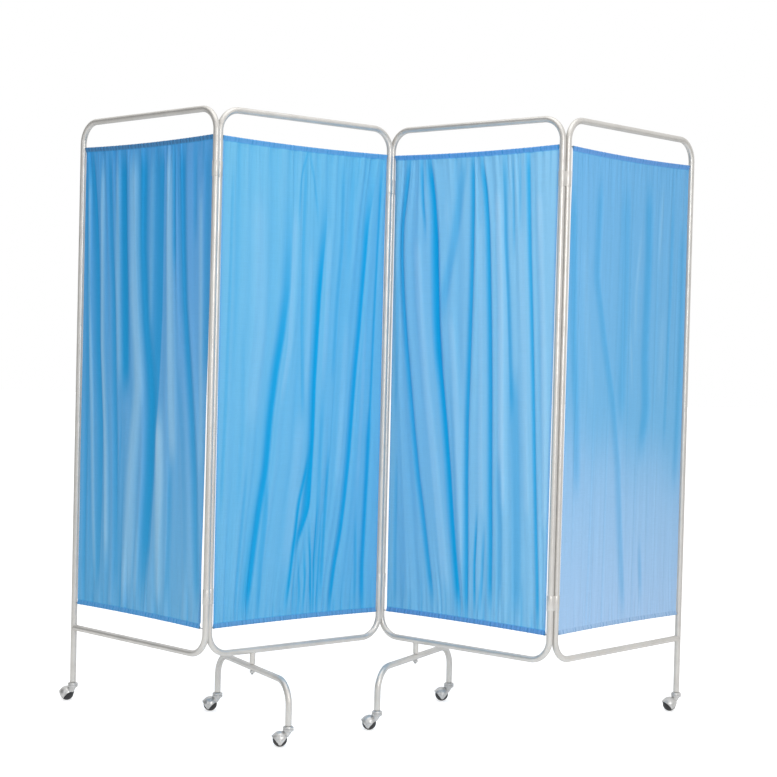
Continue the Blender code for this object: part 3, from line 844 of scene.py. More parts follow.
@dataclass
class Curtain:
    """One panel's curtain: a cloth with a casing round each wire, gathered along both.

    Every pair of values for the height is (at the top, at the foot), and every pair of
    insets is (left, right). Tints are shares of a colour.

    Args:
        folds: the long folds, placed one by one.
        seed: the seed of the small folds.
        top_insets: the gaps beside the cloth at the top, from the posts' axes.
        bottom_insets: the same at the foot.
        top_pleats: how many short pleats start at the top casing, and their painted shade.
        bottom_pleats: the same for the bottom casing.
        streaks: how many faint streaks there are, and their painted shade and highlight.
        wave_shade: how strongly the small waves get painted shade and highlight.
        hem_tint: how strongly the creases in the casings get painted shade.
        corner_shade: painted shade, or below 0 painted highlight, at the top left, top right,
        foot left and foot right.
        shade: how much of the cloth has painted shade, in the hems' colour.
        painted_haze_all: how much painted pale haze of light lies over all of it.
        painted_haze_foot: how much painted pale haze of light lies over its foot.
        calm: the share of the small waves that is left.
        casing_tint: how strongly the casings have the blue of two layers, partly painted shade.
        foot_tint: the share of the long folds' tint that is left at the foot.
        casing_shade: how dark the painted shade on the puckered casings is.
        top_bow: how far the top wire rises in its middle.
        bottom_bow: how far the bottom wire rises in its middle.
        stiff: the height of each casing that is too stiff to fold.
        crest: the height of the cloth's crest over the wire.
        limit: how far the cloth leaves the panel's middle plane at most.
    """

    number: int
    folds: tuple[Fold, ...]
    seed: int
    top_insets: tuple[float, float]
    bottom_insets: tuple[float, float]
    top_pleats: tuple[int, float]
    bottom_pleats: tuple[int, float]
    streaks: tuple[int, float]
    wave_shade: float
    hem_tint: float
    corner_shade: tuple[float, float, float, float]
    shade: tuple[float, float]
    casing_shade: tuple[float, float]
    casing_tint: float = 0.85
    foot_tint: float = 1.0
    painted_haze_all: float = 0.0
    painted_haze_foot: float = 0.0
    calm: float = 1.0
    panel_width: float = PANEL_WIDTH
    top_wire: float = 1665.0 * MM
    bottom_wire: float = 298.5 * MM
    top_bow: float = -5.0 * MM
    bottom_bow: float = 3.0 * MM
    casing: float = 15.0 * MM
    stiff: float = 12.0 * MM
    crest: float = 3.2 * MM
    pucker: float = 0.3 * MM
    bore: float = 2.0 * MM
    half_thickness: float = 0.35 * MM
    side_hem: float = 6.5 * MM
    columns: int = 330
    middle_rows: int = 104
    limit: float = 7.6 * MM
    rng: np.random.Generator = field(init=False)

    @property
    def name(self) -> str:
        """The name of the curtain's piece."""
        return f"panel_{self.number}_curtain"

    def wire_height(self, x: Grid, wire: Wire) -> Grid:
        """Return the height of a bowed wire at x."""
        share = (x - TUBE_RADIUS) / (self.panel_width - 2 * TUBE_RADIUS)
        bow = np.clip(4 * share * (1 - share), 0, None)
        if wire is Wire.TOP:
            return self.top_wire + self.top_bow * bow
        return self.bottom_wire + self.bottom_bow * bow

    @staticmethod
    def casing_rows() -> tuple[Grid, Grid]:
        """Return the casing's rows: the distance from the crest and half the thickness."""
        rows = np.array([(0, 0.0), (0.35, 1.5), (1.0, 2.3), (2.0, 2.9), (3.2, 3.15),
                         (4.6, 3.05), (6.2, 2.5), (8.0, 1.8), (10.2, 1.2), (12.4, 0.8),
                         (13.9, 0.42), (15.0, 0.55), (16.6, 0.4), (19.5, 0.35)]) * MM
        return rows[:, 0], rows[:, 1]

    def lay_out(self) -> Cloth:
        """Return the cloth spread flat between its wires, with its casings puckered."""
        depth, half = self.casing_rows()
        count = len(depth)
        middle = np.linspace(0, 1, self.middle_rows + 2)[1:-1]
        share = np.tile(np.linspace(0, 1, self.columns), (count * 2 + len(middle), 1))
        x_bottom, x_top = (left + (self.panel_width - left - right) * share[0]
                           for left, right in (self.bottom_insets, self.top_insets))
        ruffle = sum(self.rng.uniform(0.5, 1) * np.sin(2 * math.pi * share[0] * puckers
                                                  + self.rng.uniform(*PHASES))
                     for puckers in (31, 40, 49, 62, 77)) / 2.4
        top = self.wire_height(x_top, Wire.TOP) + self.crest + self.pucker * ruffle
        foot = self.wire_height(x_bottom, Wire.BOTTOM) - self.crest - self.pucker * ruffle
        z = np.empty_like(share)
        z[:count] = foot + depth[:, None]
        z[-count:] = (top - depth[:, None])[::-1]
        inner_foot, inner_top = foot + depth[-1], top - depth[-1]
        z[count:-count] = inner_foot + (inner_top - inner_foot) * middle[:, None]
        row = (z - foot) / (top - foot)
        crest = np.minimum(z - foot, top - z)
        thick = np.full_like(share, self.half_thickness)
        thick[:count] = half[:, None]
        thick[-count:] = half[::-1, None]
        plump = np.clip(1 + 0.3 * ruffle, 0.98, 1.5)
        thick = thick * (1 + (plump - 1) * (1 - ramp(crest, 0, self.stiff)))
        return Cloth(share, row, x_bottom + (x_top - x_bottom) * row, z, crest,
                     below=np.maximum(top - z - self.stiff, 0),
                     above=np.maximum(z - foot - self.stiff, 0), ruffle=ruffle, half=thick)

    def warp(self, cloth: Cloth) -> Grid:
        """Bend the share of the width so that small waves run along the long folds."""
        share, row = cloth.share, cloth.row
        bent = np.empty_like(share)
        lines = [fold.middle(row[:, 0]) for fold in self.folds if fold.leads]
        gap, last_gap = 0.03, 0.02
        for index in range(share.shape[0]):
            marks = sorted((float(np.mean(line)), float(line[index])) for line in lines)
            here, rest = [0.0], [0.0]
            for mean, place in marks:
                if place > here[-1] + gap and mean > rest[-1] + gap:
                    here.append(place)
                    rest.append(mean)
            here.append(max(1.0, here[-1] + last_gap))
            rest.append(1.0)
            bent[index] = np.interp(share[index], here, rest)
        window = np.hanning(17)[:, None]
        spare = len(window) // 2
        padded = np.concatenate([np.repeat(bent[:1], spare, 0), bent,
                                 np.repeat(bent[-1:], spare, 0)])
        total = sum(weight * padded[k:k + len(bent)] for k, weight in enumerate(window))
        return total / window.sum()

    def waves(self, cloth: Cloth) -> Grid:
        """Return the shift by free waves, fine at the casings and broad in the middle."""
        rng, bent = self.rng, cloth.bent
        total = np.zeros_like(bent)
        share = cloth.above / (cloth.below + cloth.above)
        for wave in (9.0, 11.0, 13.5, 17.0, 21.0, 27.0, 34.0, 43.0, 55.0, 70.0):
            decay = wave * MM * 9.0
            for edge, lean in ((cloth.below, 1.0), (cloth.above, -1.0)):
                drift = rng.normal(0, 0.8, 3)
                wander = sum(d * np.sin((k + 1) * 2.1 * share * lean + 1.7 * k)
                             for k, d in enumerate(drift))
                beat = 0.6 + 0.4 * np.sin(2 * math.pi * bent * rng.uniform(1.5, 5)
                                          + rng.uniform(*PHASES) + wander)
                angle = (2 * math.pi * self.panel_width / (wave * MM) * bent
                         + rng.uniform(*PHASES) + wander)
                shape = np.sin(angle + 0.6 * np.sin(angle + rng.uniform(*PHASES)))
                total += 0.032 * wave * MM * beat * shape * np.exp(-edge / decay)
        return total * self.calm

    def long_folds(self, cloth: Cloth) -> Relief:
        """Return what the long folds do to the cloth."""
        relief = Relief.none(cloth.share)
        for fold in self.folds:
            aside = (cloth.share - fold.middle(cloth.row)) * self.panel_width / MM
            presence = fold.presence(cloth.row)
            reach = np.where(aside < 0, fold.width, fold.edge)
            band = presence * ease(np.clip(1.15 - np.abs(aside) / reach, 0, 1))
            slope = np.where(aside < 0, 0.75 * fold.width, max(0.7 * fold.edge,
                                                               0.3 * fold.width))
            ridge = np.exp(-((aside - 0.85 * fold.width) / (0.5 * fold.width)) ** 2)
            relief.shift += fold.depth * presence * (np.exp(-(aside / slope) ** 2)
                                                     - 0.4 * ridge)
            # Ridges get painted highlight, valleys painted shade.
            if fold.tint < 0:
                relief.pale = np.maximum(relief.pale, -fold.tint * band)
            else:
                left = between(self.foot_tint, 1, ramp(cloth.row, 0, 0.55))
                strength = min(1.12 * fold.tint, 1.0)
                relief.deep = layer(relief.deep, strength * band * left)
        return relief

    def pleats(self, cloth: Cloth, edge: Grid, count: int, tint: float) -> Relief:
        """Return what the short pleats that start at one casing do to the cloth.

        Args:
            cloth: the flat cloth.
            edge: the distance from that casing, in metres.
            count: how many pleats there are.
            tint: how much painted shade deepens their blue.

        Returns:
            Their relief, which is never pale.
        """
        rng, bent = self.rng, cloth.bent
        relief = Relief.none(bent)
        for index in range(count):
            start = (index + rng.uniform(0.1, 0.9)) / count
            slope = rng.normal(0, 0.05)
            length = rng.uniform(0.025, 0.17) * (0.5 + rng.uniform())
            wide = rng.uniform(2.2, 5.0) * MM * (1 + edge / length)
            aside = (bent - start - slope * edge) * self.panel_width
            side = rng.choice((-1.0, 1.0))
            form = np.exp(-(np.maximum(side * aside, 0) / (0.45 * wide)) ** 1.6
                          - (np.maximum(-side * aside, 0) / wide) ** 1.6)
            fade = 1 - ramp(edge, 0, length)
            strength = rng.uniform(0.35, 1.0)
            relief.shift += 2.0 * MM * strength * fade * form
            # The pleats' deeper blue is painted shade.
            relief.deep = layer(relief.deep, tint * strength * fade ** 0.7 * form)
        return relief

    def faint_streaks(self, cloth: Cloth) -> Relief:
        """Return what faint upright streaks do: painted shade, every third painted highlight."""
        rng, bent, row = self.rng, cloth.bent, cloth.row
        relief = Relief.none(bent)
        count, tint = self.streaks
        height = 0.8 * MM
        for index in range(count):
            start = (index + rng.uniform(0, 1)) / count
            centre, half = rng.uniform(0.1, 0.9), rng.uniform(0.15, 0.4)
            bow = rng.normal(0, 0.012)
            wide = rng.uniform(3.0, 9.0) * MM
            aside = (bent - start - bow * np.sin(3 * row + index)) * self.panel_width
            form = np.exp(-(aside / wide) ** 2) * np.exp(-((row - centre) / half) ** 4)
            strength = tint * rng.uniform(0.4, 1.0)
            if index % 3 == 2:
                relief.pale = np.maximum(relief.pale, strength * form)
                relief.shift -= height * form
            else:
                relief.deep = layer(relief.deep, strength * form)
                relief.shift += height * form
        return relief

    def surface(self) -> Cloth:
        """Return the whole cloth: its shape and the shares of its colours."""
        self.rng = np.random.default_rng(self.seed)
        cloth = self.lay_out()
        cloth.bent = self.warp(cloth)
        waves = self.waves(cloth)
        folds = self.long_folds(cloth)
        top = self.pleats(cloth, cloth.below, *self.top_pleats)
        foot = self.pleats(cloth, cloth.above, *self.bottom_pleats)
        streaks = self.faint_streaks(cloth)
        # The casings hold the cloth: small waves start beside them, long folds further off.
        near = np.minimum(cloth.above, cloth.below)
        hold = ramp(near, 0, 6 * MM) * 0.85 + 0.15
        free = ease(ramp(near, 0, 50 * MM))
        y = (waves + top.shift + foot.shift) * hold + (folds.shift + streaks.shift) * free
        cloth.y = self.limit * np.tanh(y / self.limit)
        # The small waves get painted shade in their hollows and painted highlight on their crests.
        ripple = self.wave_shade * np.tanh(waves * hold / (2.2 * MM))
        self.tint_open_cloth(cloth, ripple, folds, (top, foot, streaks))
        self.tint_casings(cloth)
        self.paint_haze(cloth)
        return cloth

    def tint_open_cloth(self, cloth: Cloth, ripple: Grid, folds: Relief,
                        small: Sequence[Relief]) -> None:
        """Paint shade and highlights, and the hems' colour on the hems and the shaded parts.

        Args:
            cloth: the cloth, which gets its painted shade and highlight and the hems' colour.
            ripple: the painted shade of the small waves, below 0 the highlight on their crests.
            folds: what the long folds do.
            small: what the pleats and the streaks do.
        """
        row, share = cloth.row, cloth.share
        # The corners get painted shade, or below 0 painted highlight.
        top_left, top_right, foot_left, foot_right = self.corner_shade
        corners = (between(top_left, top_right, share) * row
                   + between(foot_left, foot_right, share) * (1 - row))
        deep = folds.deep
        for over in (np.clip(ripple, 0, 1), *(relief.deep for relief in small),
                     np.clip(corners, 0, 1) * (1 - folds.pale)):
            deep = layer(deep, over)
        pale = np.maximum(folds.pale, np.clip(-corners, 0, 1))
        side = np.minimum(share, 1 - share) * self.panel_width
        # The casings and side hems take the hems' darker blue, partly painted shade.
        hem = np.maximum(self.casing_tint * (1 - ramp(cloth.crest, 13.5 * MM, 2.0 * MM)),
                         0.4 * ramp(side, self.side_hem, -1.5 * MM))
        # Painted shade on the shaded part of the cloth takes the hems' colour.
        hem = np.maximum(hem, between(self.shade[1], self.shade[0], row) * (1 - pale))
        for lighter in (np.clip(-ripple, 0, 1), *(relief.pale for relief in small)):
            pale = np.maximum(pale, lighter)
        pale = pale * (ramp(cloth.crest, 8.4 * MM, 14 * MM) * 0.6 + 0.4)
        cloth.tints.update(deep=deep, pale=np.clip(pale, 0, 1), hem=hem)

    def tint_casings(self, cloth: Cloth) -> None:
        """Paint shade on the puckered casings, their creases and the seams that close them."""
        row, ruffle = cloth.row, cloth.ruffle
        casing = 1 - ramp(cloth.crest, self.stiff, 3 * MM)
        # The creases in the casings get painted shade.
        creases = (ramp(ruffle, 0.15, 1.0) * (0.5 + self.hem_tint)
                   + self.hem_tint * (0.3 + 0.7 * row))
        dark = between(self.casing_shade[1], self.casing_shade[0], row)
        cloth.tints["casing_shade"] = np.clip(dark * casing * (0.9 + 0.5 * ruffle), 0, 0.8)
        # Painted shade lines the seams; the bottom one is weaker under the painted pale haze.
        seam = 0.35 * np.clip(1 - np.abs(cloth.crest - 14.5 * MM) / (2.0 * MM), 0, 1)
        seam = seam * (1 - self.painted_haze_foot * (row < 0.5))
        deep = cloth.tints["deep"]
        deep = deep * (0.35 + 0.65 * (1 - casing)) + creases * casing * (1 - deep)
        cloth.tints["deep"] = np.clip(layer(deep, seam), 0, 1)

    def paint_haze(self, cloth: Cloth) -> None:
        """Paint a pale haze of light towards the foot, below a line that slopes and wavers."""
        share, row = cloth.share, cloth.row
        line = 0.53 - 0.10 * share + 0.02 * np.sin(19 * share)
        fall = 0.4 * ease(ramp(line - row, 0, 0.22)) + 0.6 * (1 - ramp(row, 0, 0.42))
        cloth.tints["painted_haze"] = between(self.painted_haze_all, self.painted_haze_foot, fall)

    def tubes(self, cloth: Cloth) -> list[Grid]:
        """Return the loops of points, row by column, round the cloth and round each bore."""
        front, back = cloth.y - cloth.half, cloth.y + cloth.half
        outside = np.stack([wrap(cloth.x), np.concatenate([front, back[1:-1][::-1]], 0),
                            wrap(cloth.z)], -1)
        sides = 8
        angle = np.arange(sides) * math.pi * 2 / sides + math.pi / sides
        level = np.ones(self.columns)
        tubes = [outside]
        for wire, x in ((Wire.BOTTOM, cloth.x[0]), (Wire.TOP, cloth.x[-1])):
            height = self.wire_height(x, wire)
            tubes.append(np.stack([np.tile(x, (sides, 1)),
                                   np.cos(angle)[:, None] * self.bore * level,
                                   height + np.sin(angle)[:, None] * self.bore], -1))
        return tubes

    def shell(self, tubes: Sequence[Grid]) -> bpy.types.Mesh:
        """Make the mesh of the tubes, open at both sides, with the bores inside out."""
        points = np.concatenate([tube.reshape(-1, 3) for tube in tubes])
        faces, start = [], 0
        for number, tube in enumerate(tubes):
            index = start + np.arange(tube.shape[0] * self.columns).reshape(-1, self.columns)
            following = np.roll(index, -1, 0)
            quads = np.stack([index[:, :-1], index[:, 1:], following[:, 1:],
                              following[:, :-1]], -1).reshape(-1, 4)
            faces.append(quads if number == 0 else quads[:, ::-1])
            start += index.size
        mesh = bpy.data.meshes.new(self.name)
        mesh.from_pydata(points.tolist(), [], np.concatenate(faces).tolist())
        return mesh

    def mark(self, mesh: bpy.types.Mesh, cloth: Cloth, outside: Grid,
             flat_width: float) -> None:
        """Give the mesh the attributes and the UV map that its material reads.

        Args:
            mesh: the cloth's mesh, whose first points are the outside.
            cloth: the coloured cloth.
            outside: the loops of points round the cloth.
            flat_width: the width of the cloth as it was cut.
        """
        count, outer = len(mesh.vertices), outside.shape[0] * self.columns
        colour, haze_share, flat = np.zeros((count, 4)), np.zeros(count), np.zeros((count, 2))
        for channel, key in enumerate(("deep", "hem", "pale", "casing_shade")):
            colour[:outer, channel] = wrap(cloth.tints[key]).ravel()
        haze_share[:outer] = wrap(cloth.tints["painted_haze"]).ravel()
        mesh.color_attributes.new("folds", "FLOAT_COLOR", "POINT").data.foreach_set(
            "color", colour.ravel())
        mesh.attributes.new("painted_haze", "FLOAT", "POINT").data.foreach_set("value", haze_share)
        middle = outside[:len(cloth.row), self.columns // 2]
        rise = np.concatenate([[0], np.cumsum(np.linalg.norm(np.diff(middle, axis=0),
                                                             axis=1))])
        flat[:outer, 0] = wrap(cloth.share).ravel() * flat_width
        flat[:outer, 1] = np.repeat(wrap(rise), self.columns)
        corners = np.empty(len(mesh.loops), np.int32)
        mesh.loops.foreach_get("vertex_index", corners)
        mesh.uv_layers.new(name="cloth").data.foreach_set("uv", flat[corners].ravel())

    def close_sides(self, mesh: bpy.types.Mesh, counts: Sequence[int]) -> None:
        """Close both side edges of the cloth, round the mouths of the bores.

        Args:
            mesh: the cloth's mesh.
            counts: the points round the cloth and round each bore.
        """
        shell = bmesh.new()
        shell.from_mesh(mesh)
        shell.verts.ensure_lookup_table()
        for column in (0, self.columns - 1):
            edges, start = [], 0
            for count in counts:
                ring = [shell.verts[start + k * self.columns + column] for k in range(count)]
                edges += [shell.edges.get((ring[k - 1], ring[k])) for k in range(count)]
                start += count * self.columns
            bmesh.ops.triangle_fill(shell, use_beauty=True, edges=edges)
        bmesh.ops.recalc_face_normals(shell, faces=shell.faces)
        shell.to_mesh(mesh)
        shell.free()

    def flat_size(self, cloth: Cloth) -> tuple[float, float]:
        """Return the width and length of the cloth as it was cut, in metres."""
        steps = np.hypot(np.diff(cloth.x, axis=1), np.diff(cloth.y, axis=1))
        width = float(steps.sum(1).max())
        length = float((cloth.z[-1] - cloth.z[0]).mean() + 2 * self.casing)
        LOG.info("%s: flat width %.3f m, flat length %.3f m", self.name, width, length)
        return round(width, 3), round(length, 3)

    def build(self, place: Matrix, materials: Materials, body: str) -> None:
        """Build the cloth as one closed shell with two bores, and register it.

        Args:
            place: the panel's place in the frame.
            materials: the built finishes.
            body: the body that the curtain rides on.
        """
        cloth = self.surface()
        tubes = self.tubes(cloth)
        width, length = self.flat_size(cloth)
        mesh = self.shell(tubes)
        self.mark(mesh, cloth, tubes[0], width)
        self.close_sides(mesh, [len(tube) for tube in tubes])
        curtain = bpy.data.objects.new(self.name, mesh)
        bpy.context.scene.collection.objects.link(curtain)
        dress(curtain, self.name, Finish.CLOTH, body, f"curtain_{self.number}", materials,
              place, angle=60.0)


# Panels, hinges, arches and castors

class LongLeg(Enum):
    """The post of a panel, if any, that runs on down to the floor as a leg."""

    NONE = 0
    LEFT = 1
    RIGHT = 2


@dataclass
class Panel:
    """One panel: its bent frame, its two wires and its curtain.

    Its place has X from its left to its right post. Its welded rail ends rail_depth short of
    the leg's axis, inside the leg, and its wires end wire_start from the posts' axes.
    """

    number: int
    place: Matrix
    curtain: Curtain
    leg: LongLeg
    width: float = PANEL_WIDTH
    top: float = 1741.0 * MM
    bottom: float = RAIL_HEIGHT
    bend_radius: float = 62.0 * MM
    bead: float = 1.6 * MM
    rail_depth: float = 4.0 * MM
    wire_radius: float = 1.5 * MM
    wire_start: float = 4.3 * MM
    wire_steps: int = 24

    @property
    def body(self) -> str:
        """The body that the panel's pieces ride on."""
        return f"panel_{self.number}"

    def closed_frame(self) -> Piece:
        """Bend a middle panel's frame from one closed loop of tube."""
        bender = TubeBender(bend_radius=self.bend_radius)
        reach = self.bend_radius
        half = (self.top - self.bottom) / 2
        bender.start(Vector((0, 0, self.bottom + half)), UP)
        bender.run(half - reach)
        for towards, length in ((ACROSS, self.width - 2 * reach),
                                (-UP, self.top - self.bottom - 2 * reach),
                                (-ACROSS, self.width - 2 * reach), (UP, half - reach)):
            bender.bend(towards)
            bender.run(length)
        return finish_shape()

    def legged_frame(self) -> Piece:
        """Bend an outer panel's frame with its long leg and weld its rail on."""
        leg, inward = (self.width, -ACROSS) if self.leg is LongLeg.RIGHT else (0.0, ACROSS)
        bender = TubeBender(bend_radius=self.bend_radius)
        reach = self.bend_radius
        middle = Vector((self.width / 2, 0, self.bottom))
        bender.start(middle, inward)
        bender.run(self.width / 2 - reach)
        for towards, length in ((UP, self.top - self.bottom - 2 * reach),
                                (-inward, self.width - 2 * reach),
                                (-UP, self.top - LEG_END - reach)):
            bender.bend(towards)
            bender.run(length)
        bender.step_in(SOCKET_RADIUS, SOCKET_DEPTH)
        tube = finish_shape()
        # The other half of the rail runs from the middle into the leg's wall.
        bender.start(middle, -inward)
        bender.run(self.width / 2 - self.rail_depth)
        bender.cap()
        welded = splice([tube, finish_shape()])
        bead = weld_bead(Vector((leg, 0, self.bottom)), inward, TUBE_RADIUS, self.bead)
        return join([welded, bead])

    def stretch(self, wire: Wire) -> Piece:
        """Stretch a wire between the posts.

        Args:
            wire: which of the two wires.

        Returns:
            The wire, with a UV map that runs along it.
        """
        xs = np.concatenate([[self.wire_start],
                             np.linspace(TUBE_RADIUS, self.width - TUBE_RADIUS,
                                         self.wire_steps + 1),
                             [self.width - self.wire_start]])
        heights = self.curtain.wire_height(xs, wire)
        bender = TubeBender(radius=self.wire_radius, sides=12)
        bender.start(Vector((xs[0], 0, heights[0])), ACROSS)
        bender.cap()
        for along, rise in zip(np.diff(xs), np.diff(heights)):
            extrude((along, 0, rise))
        piece = finish_shape()
        flat = piece.data.uv_layers.new(name="along")
        for loop in piece.data.loops:
            spot = piece.data.vertices[loop.vertex_index].co
            flat.data[loop.index].uv = (spot.x, math.atan2(spot.y, spot.z) * self.wire_radius)
        return piece

    def build(self, materials: Materials) -> None:
        """Build and register the whole panel."""
        made = self.closed_frame() if self.leg is LongLeg.NONE else self.legged_frame()
        dress(made, f"{self.body}_frame", Finish.STEEL, self.body,
              f"frame_tube_{self.number}", materials, self.place)
        for wire in Wire:
            dress(self.stretch(wire), f"{self.body}_{wire.value}_wire", Finish.WIRE, self.body,
                  f"{wire.value}_wire_{self.number}", materials, self.place)
        self.curtain.build(self.place, materials, self.body)


@dataclass
class HingeSleeves:
    """The upper and lower figure-eight sleeves that join two neighbouring posts.

    Its place is the first post's, with X towards the other post.
    """

    pair: str
    place: Matrix
    spacing: float = 20.7 * MM
    radius: float = 10.2 * MM
    bore: float = 9.3 * MM
    height: float = 42.0 * MM
    web_length: float = 10.7 * MM
    web_width: float = 11.0 * MM
    edge: float = 0.35 * MM
    sides: int = 48
    centres: tuple[tuple[str, float], ...] = (("upper", 1573.0 * MM), ("lower", 388.0 * MM))

    def sleeve(self) -> Piece:
        """Press one figure-eight sleeve, about its own middle."""
        half, far = self.height / 2, self.height
        body = cylinder(self.radius, -half, half, self.sides)
        other = cylinder(self.radius, -half, half, self.sides, Vector((self.spacing, 0, 0)))
        deselect()
        bpy.ops.mesh.primitive_cube_add(size=1, location=(0, 0, 0), enter_editmode=True)
        bpy.ops.transform.resize(value=(self.web_length, self.web_width, self.height))
        bpy.ops.transform.translate(value=(self.spacing / 2, 0, 0))
        combine(body, finish_shape(), Cut.ADD)
        combine(body, other, Cut.ADD)
        for x in (0.0, self.spacing):
            combine(body, cylinder(self.bore, -far, far, self.sides, Vector((x, 0, 0))),
                    Cut.REMOVE)
        soften(body, self.edge, 2, 50.0)
        return body

    def build(self, materials: Materials) -> None:
        """Build one sleeve, copy it and register both."""
        master = self.sleeve()
        for level, height in self.centres:
            dress(copy_of(master), f"sleeve_{self.pair}_{level}", Finish.STEEL,
                  f"sleeve_{self.pair}", f"hinge_sleeve_{level}_{self.pair}", materials,
                  self.place @ Matrix.Translation((0, 0, height)))
        bpy.data.objects.remove(master, do_unlink=True)


@dataclass
class FootArch:
    """The foot arch of a middle panel with its post, stud and nut.

    The post, stud and nut are turned with the panel, and the arch has X towards its rear
    leg. The thread leaves a share of the stud's radius, its root.
    """

    number: int
    post_place: Matrix
    arch_place: Matrix
    half_span: float = 237.0 * MM
    height: float = 174.0 * MM
    bend_radius: float = 65.0 * MM
    post_radius: float = 8.0 * MM
    post_gap: float = 0.3 * MM
    post_chamfer: float = 0.6 * MM
    post_sink: float = 2.0 * MM
    bead: float = 1.3 * MM
    stud_radius: float = 4.0 * MM
    stud_top: float = 203.0 * MM
    stud_tip: float = 153.5 * MM
    thread_pitch: float = 1.0 * MM
    thread_root: float = 0.88
    nut_radius: float = 7.3 * MM
    nut_low: float = 158.0 * MM
    nut_high: float = 164.5 * MM
    nut_round: float = 0.7 * MM
    nut_slope: float = 1.4 * MM

    def arch(self) -> Piece:
        """Bend the arch from one tube, from the middle out to both legs."""
        halves = []
        for outward in (ACROSS, -ACROSS):
            bender = TubeBender(bend_radius=self.bend_radius)
            bender.start(Vector((0, 0, self.height)), outward)
            bender.run(self.half_span - self.bend_radius)
            bender.bend(-UP)
            bender.run(self.height - LEG_END - self.bend_radius)
            bender.step_in(SOCKET_RADIUS, SOCKET_DEPTH)
            halves.append(finish_shape())
        return splice(halves)

    def post(self) -> Piece:
        """Weld up the short post between the rail and the arch."""
        low = self.height + TUBE_RADIUS + self.post_gap
        high = RAIL_HEIGHT - self.post_sink
        post = rings([(0, low), (self.post_radius - self.post_chamfer, low),
                      (self.post_radius, low + self.post_chamfer),
                      (self.post_radius, high), (0, high)], 32)
        bead = weld_bead(Vector((0, 0, RAIL_HEIGHT)), -UP, self.post_radius, self.bead)
        return join([post, bead])

    def stud(self) -> Piece:
        """Turn the stud, with its thread below the arch."""
        profile = [(0, self.stud_tip), (self.stud_radius * 0.75, self.stud_tip)]
        height, crest = self.stud_tip + self.thread_pitch / 2, True
        while height < self.nut_low:
            profile.append((self.stud_radius * (1.0 if crest else self.thread_root), height))
            height, crest = height + self.thread_pitch / 2, not crest
        profile += [(self.stud_radius, self.nut_low), (self.stud_radius, self.stud_top),
                    (0, self.stud_top)]
        return rings(profile, 24)

    def nut(self) -> Piece:
        """Cut the hexagon nut with chamfered corners."""
        low, high, corner = self.nut_low, self.nut_high, self.nut_radius
        blank = rings([(0, low), (corner, low), (corner, high), (0, high)], 6)
        turned = rings([(0, low), (corner - self.nut_round, low),
                        (corner + self.nut_round, low + self.nut_slope),
                        (corner + self.nut_round, high - self.nut_slope),
                        (corner - self.nut_round, high), (0, high)], 36)
        combine(blank, turned, Cut.KEEP)
        hole = self.stud_radius + 0.2 * MM
        combine(blank, rings([(0, low - MM), (hole, low - MM), (hole, high + MM),
                              (0, high + MM)], 24), Cut.REMOVE)
        soften(blank, 0.15 * MM, 1, 25.0)
        return blank

    def build(self, materials: Materials) -> None:
        """Build and register the arch and what holds it."""
        own, panel = f"arch_{self.number}", f"panel_{self.number}"
        for piece, kind, finish, body, node, place in (
                (self.arch(), "tube", Finish.STEEL, own, "foot_arch", self.arch_place),
                (self.post(), "post", Finish.STEEL, panel, "arch_post", self.post_place),
                (self.stud(), "stud", Finish.CHROME, panel, "pivot_stud", self.post_place),
                (self.nut(), "nut", Finish.CHROME, panel, "pivot_nut", self.post_place)):
            dress(piece, f"{own}_{kind}", finish, body, f"{node}_{self.number}", materials,
                  place)


